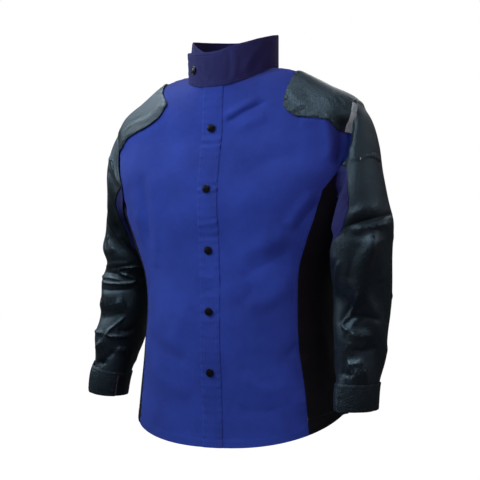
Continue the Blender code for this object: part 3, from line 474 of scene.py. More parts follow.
def crease_relief(points, surface, creases, depth=1.0):
    """Height of all creases at points of a surface; each tapers off towards its ends."""
    total = np.zeros(points.shape[:-1])
    for height, width, places in creases:
        places = smooth_rows(np.array(places, float), np.linspace(0.0, len(places) - 1.0, 4 * len(places) - 3))
        line = surface.point(places[:, 0], places[:, 1])
        width = width / 1000.0
        near = ((points > line.min(0) - CREASE_REACH * width) & (points < line.max(0) + CREASE_REACH * width)).all(-1)
        gap, where = line_distance(points[near], line)
        taper = smoothed(where / CREASE_TAPER) * smoothed((1.0 - where) / CREASE_TAPER)
        total[near] += height / 1000.0 * depth * np.exp(-(gap / width) ** (2 if height > 0 else 1.4)) * taper
    return total


def loose_wrinkles(number, seed, lengths, depth, firsts, seconds, rise, turn_scale):
    """Random short creases spread over a surface, each a slightly bent line."""
    draw = np.random.default_rng(seed)
    steps = np.array([-0.5, 0.0, 0.5])
    made = []
    for _ in range(number):
        first, second = draw.uniform(*firsts), draw.uniform(*seconds)
        length = draw.uniform(*lengths) / 1000.0
        lean = draw.uniform(-1.0, 1.0) * rise
        bend = draw.uniform(-0.25, 0.25) * length
        height = draw.choice([-1.0, 1.0]) * draw.uniform(0.35, 1.0) * depth
        width = draw.uniform(0.10, 0.17) * length * 1000.0
        along = first + (lean * steps * length + bend * np.array([0.0, 1.0, 0.0])) / 0.065
        around = second + np.degrees(steps * length * (1.0 - abs(lean) * 0.5)) * turn_scale
        made.append((height, max(width, 3.5), tuple(zip(along, around))))
    return made


BODY_LOOSE = loose_wrinkles(44, seed=11, lengths=(60.0, 200.0), depth=2.1, firsts=(1.4, 11.6),
                            seconds=(-175.0, 180.0), rise=0.8, turn_scale=3.6)


def body_relief(points):
    """All creases of the body's cloth."""
    return (crease_relief(points, BODY, BODY_CREASES, depth=1.5)
            + crease_relief(points, BODY, BODY_LOOSE, depth=1.2))


def sleeve_relief(side):
    """All creases of a sleeve."""
    surface = sleeve_surface(side)
    loose = loose_wrinkles(40, seed=21 if side > 0 else 22, lengths=(24.0, 80.0), depth=1.7, firsts=(3.6, 8.6),
                           seconds=(0.0, 360.0), rise=0.7, turn_scale=13.0)
    return lambda points: (crease_relief(points, surface, SLEEVE_CREASES[side])
                           + crease_relief(points, surface, loose))


def hem_relief(gap):
    """The turned-up hem: a slightly thicker band that ends in a stitched groove."""
    band = smoothed((HEM_DEPTH + 0.001 - gap) / 0.002)
    return HEM_RISE * band - HEM_GROOVE * np.exp(-((gap - HEM_STITCH_DEPTH) / HEM_GROOVE_WIDTH) ** 2)


def arc_lengths(points, axis):
    """Running length along one axis of a grid of points."""
    steps = np.linalg.norm(np.diff(points, axis=axis), axis=-1)
    pad = [(0, 0), (0, 0)]
    pad[axis] = (1, 0)
    return np.pad(np.cumsum(steps, axis=axis), pad)


def spaced(total, inner):
    """Distances along a length: the fixed ones near both its ends, and even ones between."""
    edge = NEAR_EDGE * min(1.0, 0.35 * total / NEAR_EDGE[-1])
    middle = np.linspace(edge[-1], total - edge[-1], inner + 1)[1:-1]
    return np.concatenate([edge, middle, total - edge[::-1]])


def even_columns(surface, first, start, end, step=CLOTH_STEP):
    """Second values of a grid whose columns are spaced between its two side edges."""
    start, end = (np.broadcast_to(edge, first.shape) for edge in (start, end))
    second = start[:, None] + (end - start)[:, None] * np.linspace(0.0, 1.0, 70)
    run = arc_lengths(surface.point(first[:, None], second), 1)
    inner = max(int((run[:, -1].max() - 2 * NEAR_EDGE[-1]) / step), 2)
    return np.array([np.interp(spaced(line[-1], inner), line, values) for line, values in zip(run, second)])


def even_shares(line, step=CLOTH_STEP):
    """Shares along a line of points, spaced between its ends."""
    run = arc_lengths(line[:, None], 0)[:, 0]
    inner = max(int((run[-1] - 2 * min(NEAR_EDGE[-1], 0.35 * run[-1])) / step), 2)
    return np.interp(spaced(run[-1], inner), run, np.linspace(0.0, 1.0, len(run)))


def even_rows(surface, first, second=0.0, step=CLOTH_STEP):
    """First and second values along a line on a surface, spaced between its ends."""
    first, second = np.broadcast_arrays(first, second)
    share = even_shares(surface.point(first, second), step)
    spots = np.linspace(0.0, 1.0, len(first))
    return np.interp(share, spots, first), np.interp(share, spots, second)


def outward_of(points, roughly):
    """Outward directions of a grid of points, on the same side as a rough direction."""
    normal = np.cross(np.gradient(points, axis=0), np.gradient(points, axis=1))
    normal /= np.maximum(np.linalg.norm(normal, axis=-1, keepdims=True), 1e-12)
    flip = np.sign((normal * roughly).sum(-1, keepdims=True))
    return normal * np.where(flip == 0, 1.0, flip)


def edge_distances(base):
    """Distances of every grid point from the top, bottom, left and right edges."""
    down, across = arc_lengths(base, 0), arc_lengths(base, 1)
    return {"top": down, "bottom": down[-1:] - down, "left": across, "right": across[:, -1:] - across}


def sewn_relief(edges, sides, stitched, pucker):
    """Turned-down edge, stitch grooves and small puckers along the sewn sides."""
    total = 0.0
    for side in sides:
        gap = edges[side]
        total = total - EDGE_ROLL * np.exp(-(gap / EDGE_ROLL_WIDTH) ** 2)
        for column in STITCH_COLUMNS if stitched else ():
            total = total - GROOVE * np.exp(-((gap - NEAR_EDGE[column]) / GROOVE_WIDTH) ** 2)
        wave = edges["left" if side in ("top", "bottom") else "top"] / PUCKER_PITCH * math.tau
        wave = np.sin(wave) + 0.6 * np.sin(wave * 1.7 + 1.0)
        total = total + PUCKER * pucker * wave * np.exp(-(gap / PUCKER_REACH) ** 2)
    return total


def fitted(name, shape, look, node=None, sharp=True):
    """An object made of a shape, riding on the jacket in place of its node."""
    mesh = bpy.data.meshes.new(name)
    shape.to_mesh(mesh)
    shape.free()
    mesh.materials.append(look.finish)
    mesh.shade_smooth()
    if sharp:
        mesh.set_sharp_from_angle(angle=SHARP_ANGLE)
    item = bpy.data.objects.new(name, mesh)
    bpy.context.scene.collection.objects.link(item)
    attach(item, "root")
    if node:
        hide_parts(node)
    return item


def walled_shape(outer, inner, wrap, keep):
    """Closed wall from a grid: it takes the outer points, is trimmed and is extruded to the inner points."""
    rows, columns = outer.shape[:2]
    shape = bmesh.new()
    bmesh.ops.create_grid(shape, x_segments=columns - 1, y_segments=rows - 1, size=1.0)
    place_of = shape.verts.layers.int.new("place")
    for index, vert in enumerate(shape.verts):
        vert[place_of] = index
    if keep is not None:
        corners = [(face, min(vert[place_of] for vert in face.verts)) for face in shape.faces]
        cut = [face for face, corner in corners if not keep[divmod(corner, columns)]]
        bmesh.ops.delete(shape, geom=cut, context="FACES")
    flat_outer, flat_inner = outer.reshape(-1, 3), inner.reshape(-1, 3)
    for vert in shape.verts:
        vert.co = flat_outer[vert[place_of]]
    if wrap:
        bmesh.ops.remove_doubles(shape, verts=shape.verts, dist=1e-6)
    made = bmesh.ops.extrude_face_region(shape, geom=shape.faces[:], use_keep_orig=True)
    for item in made["geom"]:
        if isinstance(item, bmesh.types.BMVert):
            item.co = flat_inner[item[place_of]]
    bmesh.ops.recalc_face_normals(shape, faces=shape.faces)
    return shape, np.array([vert[place_of] for vert in shape.verts])


def soft_piece(name, look, surface, first, second, top, wall, *, relief, sewn=(), stitched=True,
               pucker=1.0, wrap=False, keep=None, flat, area=None):
    """Builds one cloth or leather piece on a surface, in place of the CAD node it stands for."""
    first, second, top = np.broadcast_arrays(first, second, top)
    base = surface.point(first, second)
    edges = edge_distances(base)
    outward = lifted(surface, first, second, np.ones_like(base[..., 0])) - base
    folds = relief(base)
    outer = base + outward * (top + (folds + sewn_relief(edges, sewn, stitched, pucker)))[..., None]
    normals = outward_of(outer, outward)
    inner = outer - normals * wall
    if wrap:
        outer[:, -1], inner[:, -1], normals[:, -1] = outer[:, 0], inner[:, 0], normals[:, 0]
    shape, places = walled_shape(outer, inner, wrap, keep)
    item = fitted(name, shape, look, name.rsplit("_", 1)[0])
    mesh = item.data
    corners = np.empty(len(mesh.loops), int)
    mesh.loops.foreach_get("vertex_index", corners)
    cloth_map = np.stack([edges["left"], edges["top"]], -1).reshape(-1, 2)
    mesh.uv_layers.new(name="cloth").data.foreach_set("uv", cloth_map[places[corners]].ravel())
    sewn_gap = np.minimum.reduce([edges[side] for side in sewn]) if sewn else np.full(base.shape[:2], FAR_FROM_SEAM)
    for mark, values in (("seam", sewn_gap), ("fold", np.clip(folds / POLISHED_RISE, 0.0, 1.0))):
        mesh.attributes.new(mark, "FLOAT", "POINT").data.foreach_set("value", values.ravel()[places].astype("f"))
    return Piece(outer, normals)


class Value:
    """A socket of a material that can be added, multiplied and passed on like a number."""

    def __init__(self, tree, socket=None):
        self.tree = tree
        self.socket = socket

    def node(self, kind, settings=(), inputs=()):
        """Adds a node of a type, with its settings and inputs given by name or number."""
        made = self.tree.nodes.new(kind)
        for name, value in dict(settings).items():
            setattr(made, name, value)
        for name, value in dict(inputs).items():
            if isinstance(value, Value):
                self.tree.links.new(value.socket, made.inputs[name])
            else:
                made.inputs[name].default_value = value
        return made

    def result(self, kind, settings=(), inputs=(), output=0):
        """One output of a new node."""
        return Value(self.tree, self.node(kind, settings, inputs).outputs[output])

    def math(self, operation, other=0.0, swap=False):
        """One step of arithmetic."""
        first, second = (other, self) if swap else (self, other)
        return self.result("ShaderNodeMath", {"operation": operation}, {0: first, 1: second})

    def __add__(self, other):
        return self.math("ADD", other)

    def __mul__(self, other):
        return self.math("MULTIPLY", other)

    def __sub__(self, other):
        return self.math("SUBTRACT", other)

    def __rsub__(self, other):
        return self.math("SUBTRACT", other, swap=True)

    __radd__, __rmul__ = __add__, __mul__

    def clamped(self):
        """The value held between 0 and 1."""
        return self.math("MAXIMUM", 0.0).math("MINIMUM", 1.0)

    def between(self, low, high):
        """A share that rises from 0 to 1 as the value goes from low to high."""
        return ((self - low) * (1.0 / (high - low))).clamped()

    def noise(self, scale, detail=2.0, roughness=0.5):
        """Soft noise from a position."""
        inputs = {"Vector": self, "Scale": scale, "Detail": detail, "Roughness": roughness}
        return self.result("ShaderNodeTexNoise", {}, inputs)

    def cells(self, scale):
        """Distance to the nearest of many scattered cells."""
        inputs = {"Vector": self, "Scale": scale, "Smoothness": 0.6}
        return self.result("ShaderNodeTexVoronoi", {"feature": "SMOOTH_F1"}, inputs, "Distance")

    def stretched(self, scale):
        """A position with each direction scaled."""
        return self.result("ShaderNodeVectorMath", {"operation": "MULTIPLY"}, {0: self, 1: scale})

    def mark(self, name):
        """A number that the piece's mesh carries."""
        return self.result("ShaderNodeAttribute", {"attribute_name": name}, {}, "Fac")

    def blend(self, first, second):
        """A colour between two, with this value as the share of the second."""
        inputs = {"Factor": self, 6: (*first, 1.0), 7: (*second, 1.0)}
        return self.result("ShaderNodeMix", {"data_type": "RGBA"}, inputs, 2)

    def raised(self, distance, strength=1.0, under=None):
        """Surface direction from this value as a height."""
        inputs = {"Height": self, "Distance": distance, "Strength": strength}
        return self.result("ShaderNodeBump", {}, inputs if under is None else {**inputs, "Normal": under})


def new_finish(name):
    """An empty finish: its shader, and its position and cloth map as values."""
    finish = bpy.data.materials.new(name)
    finish.use_nodes = True
    tree = finish.node_tree
    start = Value(tree)
    position, cloth = (start.result("ShaderNodeTexCoord", output=output) for output in ("Object", "UV"))
    return finish, tree.nodes["Principled BSDF"], position, cloth


def connect(shader, constants=(), **inputs):
    """Sets a shader's constants and links values to its varying inputs."""
    for name, value in dict(constants).items():
        shader.inputs[name].default_value = value
    for name, value in inputs.items():
        value.tree.links.new(value.socket, shader.inputs[name.replace("_", " ")])


THREAD_PITCH = 0.00085
SHEEN_TINT = (0.55, 0.35, 1.0, 1.0)
HIDE_TINT = (0.50, 0.77, 1.0, 1.0)


def woven(name, bright, deep, roughness, sheen, twill=0.35):
    """Plain cotton: crossing threads on the cloth's own map, slubs, and slow changes of tone."""
    finish, shader, position, cloth = new_finish(name)
    across, down = (cloth.result("ShaderNodeSeparateXYZ", {}, {0: cloth}, axis) for axis in (0, 1))
    turn = math.tau / THREAD_PITCH
    diagonal = ((across + down) * (turn * 0.5)).math("SINE")
    weave = (across * turn).math("SINE") * (down * turn).math("SINE") + diagonal * twill
    slub = cloth.stretched((900.0, 60.0, 1.0)).noise(1.0, 1.0) + cloth.stretched((60.0, 900.0, 1.0)).noise(1.0, 1.0)
    tone = position.noise(11.0, 4.0, 0.6)
    worn = position.noise(70.0, 3.0, 0.6)
    # Lighter colour within a few millimetres of a sewn edge: a painted highlight along the seam's raised edge.
    painted_seam_highlight = cloth.mark("seam").between(0.0045, 0.0) * 0.35
    share = (tone.between(0.32, 0.68) * 0.75 + slub.between(0.75, 1.25) * 0.22 + worn * 0.08 + painted_seam_highlight
             + weave * 0.05).clamped()
    soft = position.noise(38.0, 3.0, 0.55).raised(0.0022, 0.55)
    connect(shader, {"Specular IOR Level": 0.18, "Sheen Weight": sheen, "Sheen Roughness": 0.5,
                     "Sheen Tint": SHEEN_TINT},
            Base_Color=share.blend(deep, bright), Roughness=roughness + worn * 0.08,
            Normal=(weave * 0.5 + slub * 0.7).raised(0.00016, 0.8, soft))
    return finish


def hide(name, bright, deep, low_shine, high_shine, grain, grain_height, shine):
    """Cowhide: pebbled grain, fine creases, and folds and patches that shine more."""
    finish, shader, position, cloth = new_finish(name)
    pebble = position.cells(grain)
    small = position.noise(grain * 1.7, 2.0, 0.6)
    lines = cloth.stretched((95.0, 240.0, 1.0)).noise(1.0, 4.0, 0.62)
    crinkle = 1.0 - ((lines - 0.5).math("ABSOLUTE") * 16.0).clamped()
    patch = position.noise(16.0, 3.0, 0.55)
    tone = (patch.between(0.35, 0.7) * 0.6 + (1.0 - pebble) * 0.25 + small * 0.15).clamped()
    # Lighter colour within a few millimetres of a sewn edge: a painted highlight along the seam's raised edge.
    painted_seam_highlight = cloth.mark("seam").between(0.0030, 0.0) * 0.30
    dull = (1.0 - cloth.mark("fold")) * 0.62 + patch.between(0.30, 0.70) * 0.38
    rumple = position.noise(34.0, 3.0, 0.5).raised(0.0018, 0.5)
    lumps = position.noise(300.0, 2.0, 0.65).raised(0.0016, 0.6, rumple)
    connect(shader, {"Specular IOR Level": shine, "Specular Tint": HIDE_TINT},
            Base_Color=(tone + painted_seam_highlight).clamped().blend(deep, bright),
            Roughness=low_shine + dull * (high_shine - low_shine) + crinkle * 0.06,
            Normal=((1.0 - pebble) * 0.8 + small * 0.35 - crinkle * 0.30).raised(grain_height, 0.9, lumps))
    return finish


def hooks(name, bright, deep):
    """Hook tape: rows of small hooks."""
    finish, shader, position, cloth = new_finish(name)
    hook, tone = cloth.cells(820.0), position.noise(300.0, 2.0)
    connect(shader, Base_Color=(hook * 0.7 + tone * 0.3).clamped().blend(bright, deep),
            Roughness=0.75 + tone * 0.1, Normal=(1.0 - hook).raised(0.0006, 0.9))
    return finish


def metal(name, bright, deep):
    """Snap caps with fine scratches."""
    finish, shader, position, _ = new_finish(name)
    scratch = position.stretched((300.0, 900.0, 2600.0)).noise(1.0, 3.0, 0.6)
    connect(shader, {"Metallic": 0.9}, Base_Color=position.noise(260.0, 2.0).blend(deep, bright),
            Roughness=0.24 + scratch * 0.16, Normal=scratch.raised(0.00003, 0.6))
    return finish


def thread(name, bright, deep):
    """Sewing thread with a fine twist."""
    finish, shader, position, _ = new_finish(name)
    twist = position.stretched((2200.0, 2200.0, 1100.0)).noise(1.0, 1.0)
    connect(shader, Base_Color=twist.blend(deep, bright), Roughness=0.62 + twist * 0.1,
            Normal=twist.raised(0.0001, 0.7))
    return finish


BLUE = Look("blue_cotton", woven("blue_cotton_cloth", (0.023, 0.060, 0.390), (0.015, 0.037, 0.250), 0.82, 0.06))
NAVY = Look("navy_cotton", woven("navy_cotton_cloth", (0.022, 0.028, 0.135), (0.0135, 0.017, 0.088), 0.84, 0.06))
STRETCH = Look("black_stretch", woven("black_stretch_cloth", (0.006, 0.007, 0.0105), (0.003, 0.0036, 0.0056),
                                      0.72, 0.03, 1.2))
# Darker, more purple copy of the blue cotton for the inner sleeve panels: painted shade from the torso and arm over
# the same cloth.
SHADED_INNER_BLUE = Look("blue_cotton", woven("inner_sleeve_cloth", (0.018, 0.024, 0.125), (0.011, 0.015, 0.080),
                                       0.84, 0.04))
BLACK_HIDE = ((0.006, 0.010, 0.014), (0.0028, 0.0050, 0.0075))
SLEEVE_HIDE = Look("black_leather", hide("black_cowhide", *BLACK_HIDE, 0.17, 0.58, 620.0, 0.00032, 0.85))
SHOULDER_HIDE = Look("black_leather", hide("shoulder_cowhide", *BLACK_HIDE, 0.22, 0.50, 430.0, 0.0006, 1.0))
# Pale grey-teal hide for the armhole strip: a painted highlight on the leather ridge beside the armhole seam.
PAINTED_HIGHLIGHT_HIDE = Look("pale_hide", hide("pale_hide", (0.26, 0.33, 0.35), (0.050, 0.068, 0.078), 0.45, 0.65, 420.0, 0.0009,
                                   0.6))
TAPE = Look("grey_tape", hooks("grey_hook_tape", (0.110, 0.140, 0.165), (0.034, 0.043, 0.052)))
GUNMETAL = Look("dark_metal", metal("gunmetal", (0.045, 0.051, 0.062), (0.018, 0.021, 0.027)))
BLUE_THREAD = thread("blue_thread", (0.030, 0.070, 0.330), (0.014, 0.030, 0.170))
BLACK_THREAD = thread("black_thread", (0.040, 0.046, 0.055), (0.010, 0.012, 0.015))
PALE_THREAD = thread("pale_thread", (0.42, 0.45, 0.50), (0.22, 0.24, 0.28))
blue_stitches, navy_stitches, black_stitches, pale_stitches = (bmesh.new() for _ in range(4))


def stitch(shape, start, end, outward, radius=STITCH_RADIUS, lift=STITCH_LIFT):
    """One stitch between two points, sunk a little into the cloth."""
    way = Vector(end - start)
    turn = way.to_track_quat("X", "Z").to_matrix().to_4x4()
    place = Vector((start + end) / 2 + outward / max(np.linalg.norm(outward), 1e-9) * lift)
    size = Matrix.Diagonal((way.length / 2, radius, radius, 1.0))
    bmesh.ops.create_icosphere(shape, subdivisions=1, radius=1.0, matrix=Matrix.Translation(place) @ turn @ size)


def stitch_row(shape, line, normals):
    """Lays stitches along a line."""
    run = arc_lengths(line[:, None], 0)[:, 0]

    def at(place, values):
        return np.array([np.interp(place, run, values[:, axis]) for axis in range(3)])

    for middle in np.arange(STITCH_PITCH, run[-1] - STITCH_PITCH / 2, STITCH_PITCH):
        half = STITCH_LENGTH / 2
        stitch(shape, at(middle - half, line), at(middle + half, line), at(middle, normals))


def sew(shape, piece, sides, numbers=(0, 1), rows=slice(None)):
    """Stitches along a piece's edges, on the given ones of their grooves."""
    for side in sides:
        for number in numbers:
            index = STITCH_COLUMNS[number] if side in ("left", "top") else -1 - STITCH_COLUMNS[number]
            place = index if side in ("top", "bottom") else (rows, index)
            stitch_row(shape, piece.outer[place], piece.normals[place])


def body_panel(name, look, surface, level, angle, stitches, **details):
    """A panel of the body, with its hem band and the stitches along it."""
    level = np.broadcast_to(level, angle.shape)
    gap = edge_distances(surface.point(level, angle))["bottom"]
    piece = soft_piece(name, look, surface, level, angle, 0.0, CLOTH,
                       relief=lambda points: body_relief(points) + hem_relief(gap), **details)
    row = int(np.argmin(np.abs(gap[:, gap.shape[1] // 2] - HEM_STITCH_DEPTH)))
    stitch_row(stitches, piece.outer[row], piece.normals[row])
    return piece


def make_front(word, side, flat, area):
    """One front, from the middle under the placket to the side seam."""
    surface = body_surface(side)
    level, edge = even_rows(surface, *panel_edge(side, SEAM_TURN, 0))
    angle = even_columns(surface, level, FRONT_START_ANGLE, edge)
    piece = body_panel(f"front_{word}_cloth", BLUE, surface, level[:, None], angle, blue_stitches, sewn=("right",),
                       flat=flat, area=area)
    sew(blue_stitches, piece, ("right",), rows=level >= SIDE_SEAMS[0, 0])


def make_back(flat, area):
    """The back in one piece."""
    level, edge = even_rows(BODY, *panel_edge(1, BACK_SEAM_TURN, 1))
    angle = even_columns(BODY, level, edge, 360.0 - edge, BACK_STEP)
    sides = ("left", "right")
    piece = body_panel("back_panel_cloth", BLUE, BODY, level[:, None], angle, blue_stitches, sewn=sides, flat=flat,
                       area=area)
    sew(blue_stitches, piece, sides, rows=level >= SIDE_SEAMS[0, 0])


def make_side_panel(word, side, flat, area):
    """Black stretch panel from the armpit to the hem."""
    surface = body_surface(side)
    probe = np.linspace(SIDE_SEAMS[0, 0], HEM_LEVEL, 400)
    levels, _ = even_rows(surface, probe, sum(side_seam(probe, side)) / 2)
    front, back = side_seam(levels, side)
    across = (even_columns(surface, levels, front, back) - front[:, None]) / (back - front)[:, None]
    top_level, top_angle = armhole_place(SEAM_TURN + across * (BACK_SEAM_TURN - SEAM_TURN), ARMHOLE_EDGE, side)
    up = ((HEM_LEVEL - levels) / (HEM_LEVEL - levels[0]))[:, None]
    level = levels[:, None] + (top_level - levels[0]) * up
    straight = front[:, None] + (back - front)[:, None] * across
    top_straight = front[0] + (back[0] - front[0]) * across
    body_panel(f"side_panel_{word}_cloth", STRETCH, surface, level, straight + (top_angle - top_straight) * up,
               black_stitches, sewn=("left", "right"), stitched=False, flat=flat, area=area)


def yoke_outline(side, share):
    """Places along the yoke's inner edge and its edge at the armhole."""
    inner = smooth_rows(YOKE_INNER, share * (len(YOKE_INNER) - 1))[:, [0, 1 if side > 0 else 2]]
    turns = YOKE_FRONT_TURN + share * (YOKE_BACK_TURN - YOKE_FRONT_TURN)
    return inner, np.stack(armhole_place(turns, YOKE_EDGE, side), -1)


def make_yoke(word, side, flat, area):
    """Leather over the shoulder."""
    surface = body_surface(side)
    probe = np.linspace(0.0, 1.0, 400)
    along = even_shares(surface.point(*yoke_outline(side, probe)[0].T), YOKE_STEP)
    inner, outer = yoke_outline(side, along)
    middle = len(along) // 2
    probe = np.linspace(0.0, 1.0, 200)[:, None]
    out = even_shares(surface.point(*(inner[middle] * (1 - probe) + outer[middle] * probe).T), YOKE_STEP)
    edges = []
    for edge, end in ((YOKE_FRONT, 0), (YOKE_BACK, -1)):
        line, share = smooth_rows(edge, out * (len(edge) - 1)), out[:, None]
        edges.append(line + (inner[end] - line[0]) * (1 - share) + (outer[end] - line[-1]) * share)
    level, angle = np.moveaxis(coons(inner, outer, *edges, along, out), -1, 0)
    sewn = ("left", "top", "bottom")
    piece = soft_piece(f"shoulder_yoke_{word}_leather", SHOULDER_HIDE, surface, level, angle,
                       YOKE_GAPS[side] + LEATHER, LEATHER, sewn=sewn, pucker=1.6, flat=flat, area=area,
                       relief=lambda points: body_relief(points) + crease_relief(points, BODY, YOKE_CREASES[side]))
    sew(black_stitches, piece, sewn)


def make_strip(flat, area):
    """Pale strip on the yoke along the front of the left armhole: a painted highlight where the leather ridge by the
    armhole seam catches the light.
    """
    turns = np.linspace(*STRIP_TURNS, 48)[:, None]
    inner = np.linspace(*STRIP_INNER_EDGE, 48)[:, None]
    across = np.linspace(0.0, 1.0, 14)
    level, angle = armhole_place(turns, STRIP_OUTER_EDGE + (inner - STRIP_OUTER_EDGE) * across, 1)
    top = YOKE_GAPS[1] + LEATHER + STRIP_GAP + STRIP_WALL + STRIP_ROLL * (1.0 - across)
    soft_piece("armhole_strip_left_hide", PAINTED_HIGHLIGHT_HIDE, BODY, level, angle, top, STRIP_WALL, relief=body_relief,
               sewn=("left", "right"), stitched=False, flat=flat, area=area)


def leaned(stations, turns, lean):
    """Stations drawn up on the sleeve's outer side towards its end."""
    share = (0.5 + 0.5 * np.cos(np.radians(turns - LEAN_TURN))) ** 1.5
    return stations - lean * smoothed((stations - LEAN_STATIONS[0]) / LEAN_STATIONS[1]) * share


def drawn_in(angles):
    """Angles drawn in a little from both edges, so that neighbouring pieces keep a gap."""
    drawn = angles.copy()
    drawn[:, 0] += (angles[:, 1] - angles[:, 0]) * 0.9
    drawn[:, -1] -= (angles[:, -1] - angles[:, -2]) * 0.9
    drawn[:, 1] = (drawn[:, 0] + drawn[:, 2]) / 2
    drawn[:, -2] = (drawn[:, -1] + drawn[:, -3]) / 2
    return drawn


def make_sleeve(word, side, flat, area, panel_flat):
    """Leather sleeve with the blue panel let into its inner side."""
    surface = sleeve_surface(side)
    upper, _ = even_rows(surface, np.linspace(0.0, PANEL_END, 300), step=SLEEVE_STEP)
    lower, _ = even_rows(surface, np.linspace(PANEL_END, SLEEVE_END, 300), step=FOLDED_STEP)
    stations = np.concatenate([upper, lower[1:]])
    left, right, back = read_by_first(SLEEVE_PANEL, stations)
    front = left if side > 0 else right
    panel = even_columns(surface, stations, front, back)
    leather = even_columns(surface, stations, back, front + 360.0)
    turns = np.concatenate([panel[:, :-1], leather], -1)
    rows, columns = len(upper) - 1, panel.shape[1] - 1
    places = leaned(stations[:, None], turns, CUFF_LEANS[side])
    keep = np.ones((turns.shape[0] - 1, turns.shape[1] - 1), bool)
    keep[:rows, :columns] = False
    relief = sleeve_relief(side)
    base = surface.point(places, turns)
    across = arc_lengths(surface.point(stations[:, None], leather), 1)
    seam_gap = np.full(base.shape[:2], FAR_FROM_SEAM)
    seam_gap[:rows + 1, columns:] = np.minimum(across, across[:, -1:] - across)[:rows + 1]
    down = arc_lengths(base, 0)
    seam_gap[rows:, :columns + 1] = np.abs(down[rows:, :columns + 1] - down[rows, :columns + 1])
    roll = -EDGE_ROLL * np.exp(-(seam_gap / EDGE_ROLL_WIDTH) ** 2)
    piece = soft_piece(f"sleeve_{word}_leather", SLEEVE_HIDE, surface, places, turns, 0.0, LEATHER,
                       relief=lambda points: relief(points) + roll, wrap=True, keep=keep, flat=flat, area=area)
    for column in (columns + STITCH_COLUMNS[0], columns + STITCH_COLUMNS[1], -1 - STITCH_COLUMNS[0]):
        stitch_row(black_stitches, piece.outer[:rows + 1, column], piece.normals[:rows + 1, column])
    # The panel takes the darkened copy of the blue cotton: painted shade between the arm and the torso.
    soft_piece(f"sleeve_panel_{word}_cloth", SHADED_INNER_BLUE, surface, stations[:rows + 1, None],
               drawn_in(panel[:rows + 1]), 0.0, CLOTH, relief=relief, sewn=("left", "right", "bottom"),
               stitched=False, flat=panel_flat)


def make_welt(flat):
    """Pocket welt on the left upper sleeve, with a bar of close pale stitches at each end."""
    stations = np.linspace(*WELT_STATIONS, 48)[:, None]
    turns = np.linspace(*WELT_ANGLES, 48)[:, None]
    place = stations + stations_long(WELT_HEIGHT, WELT_MEASURE_STATION) * np.linspace(0.0, 1.0, 9)
    piece = soft_piece("sleeve_pocket_welt_leather", SLEEVE_HIDE, sleeve_surface(1), place, turns,
                       LAY_GAP + WELT_WALL, WELT_WALL, relief=sleeve_relief(1), sewn=("left", "right"),
                       stitched=False, flat=flat)
    for column in (1, -2):
        stitch_row(black_stitches, piece.outer[:, column], piece.normals[:, column])
    for row, lean in ((1, 0.0), (-3, -0.6), (-3, 0.6)):
        line, middle = piece.outer[row], piece.outer[row, 4]
        side = piece.outer[row - 1, 4] - middle
        side = side / np.linalg.norm(side)
        way = ((line[-1] - line[0]) / np.linalg.norm(line[-1] - line[0]) + side * lean) * TACK_HALF_LENGTH
        for part in np.linspace(-TACK_HALF_WIDTH, TACK_HALF_WIDTH, 4):
            spot = middle + side * part
            stitch(pale_stitches, spot - way, spot + way, piece.normals[row, 4], TACK_RADIUS, TACK_LIFT)


def make_cuff(word, side, flat, tape_flat):
    """Leather band round the sleeve's end, and the hook tape between its layers."""
    surface = sleeve_surface(side)
    start_angle, end_angle = CUFF_STARTS[side], CUFF_STARTS[side] + CUFF_TURN
    relief, lean = sleeve_relief(side), CUFF_LEANS[side]
    start = WRIST_STATION - stations_long(CUFF_HEIGHT, WRIST_STATION - 1.0)
    stations, _ = even_rows(surface, np.linspace(start, WRIST_STATION, 200), step=SLEEVE_STEP)
    turns = even_columns(surface, stations, start_angle, end_angle, CUFF_STEP)
    base = CUFF_GAP + LEATHER
    climb = smoothed((turns - (360.0 + start_angle - CUFF_RISE_BEFORE)) / CUFF_RISE_ANGLE)

    def cuff_relief(points):
        return CUFF_CREASES * relief(points)

    piece = soft_piece(f"cuff_{word}_leather", SLEEVE_HIDE, surface, leaned(stations[:, None], turns, lean), turns,
                       base + (LEATHER + TAPE_WALL + 2 * CUFF_GAP) * climb, LEATHER, relief=cuff_relief,
                       sewn=("top", "bottom", "right"), pucker=1.4, flat=flat)
    sew(black_stitches, piece, ("top",))
    sew(black_stitches, piece, ("bottom", "right"), (0,))
    tape_turns = np.linspace(end_angle - TAPE_LENGTH_ANGLE, end_angle + TAPE_SHOWN_ANGLE, 30)
    margin = stations_long(TAPE_MARGIN, WRIST_STATION - 1.0)
    tape_stations = np.linspace(start + margin, WRIST_STATION - margin, 24)[:, None]
    soft_piece(f"cuff_tape_{word}_hooks", TAPE, surface, leaned(tape_stations, tape_turns, lean), tape_turns,
               base + CUFF_GAP + TAPE_WALL, TAPE_WALL, relief=cuff_relief, flat=tape_flat)


def make_collar(flat, area):
    """Stand collar with its stitched edges."""
    surface = Surface(collar_point, -1)
    shares, _ = even_rows(surface, np.linspace(0.0, 1.0, 200), COLLAR_ROW_ANGLE, COLLAR_STEPS[0])
    angles = even_columns(surface, shares, COLLAR[0, 0], COLLAR[-1, 0], COLLAR_STEPS[1])
    piece = soft_piece("collar_cloth", NAVY, surface, shares[:, None], angles, 0.0, COLLAR_WALL,
                       relief=lambda points: crease_relief(points, surface, COLLAR_CREASES),
                       sewn=("top", "bottom", "left", "right"), flat=flat, area=area)
    sew(navy_stitches, piece, ("top", "bottom", "left"))


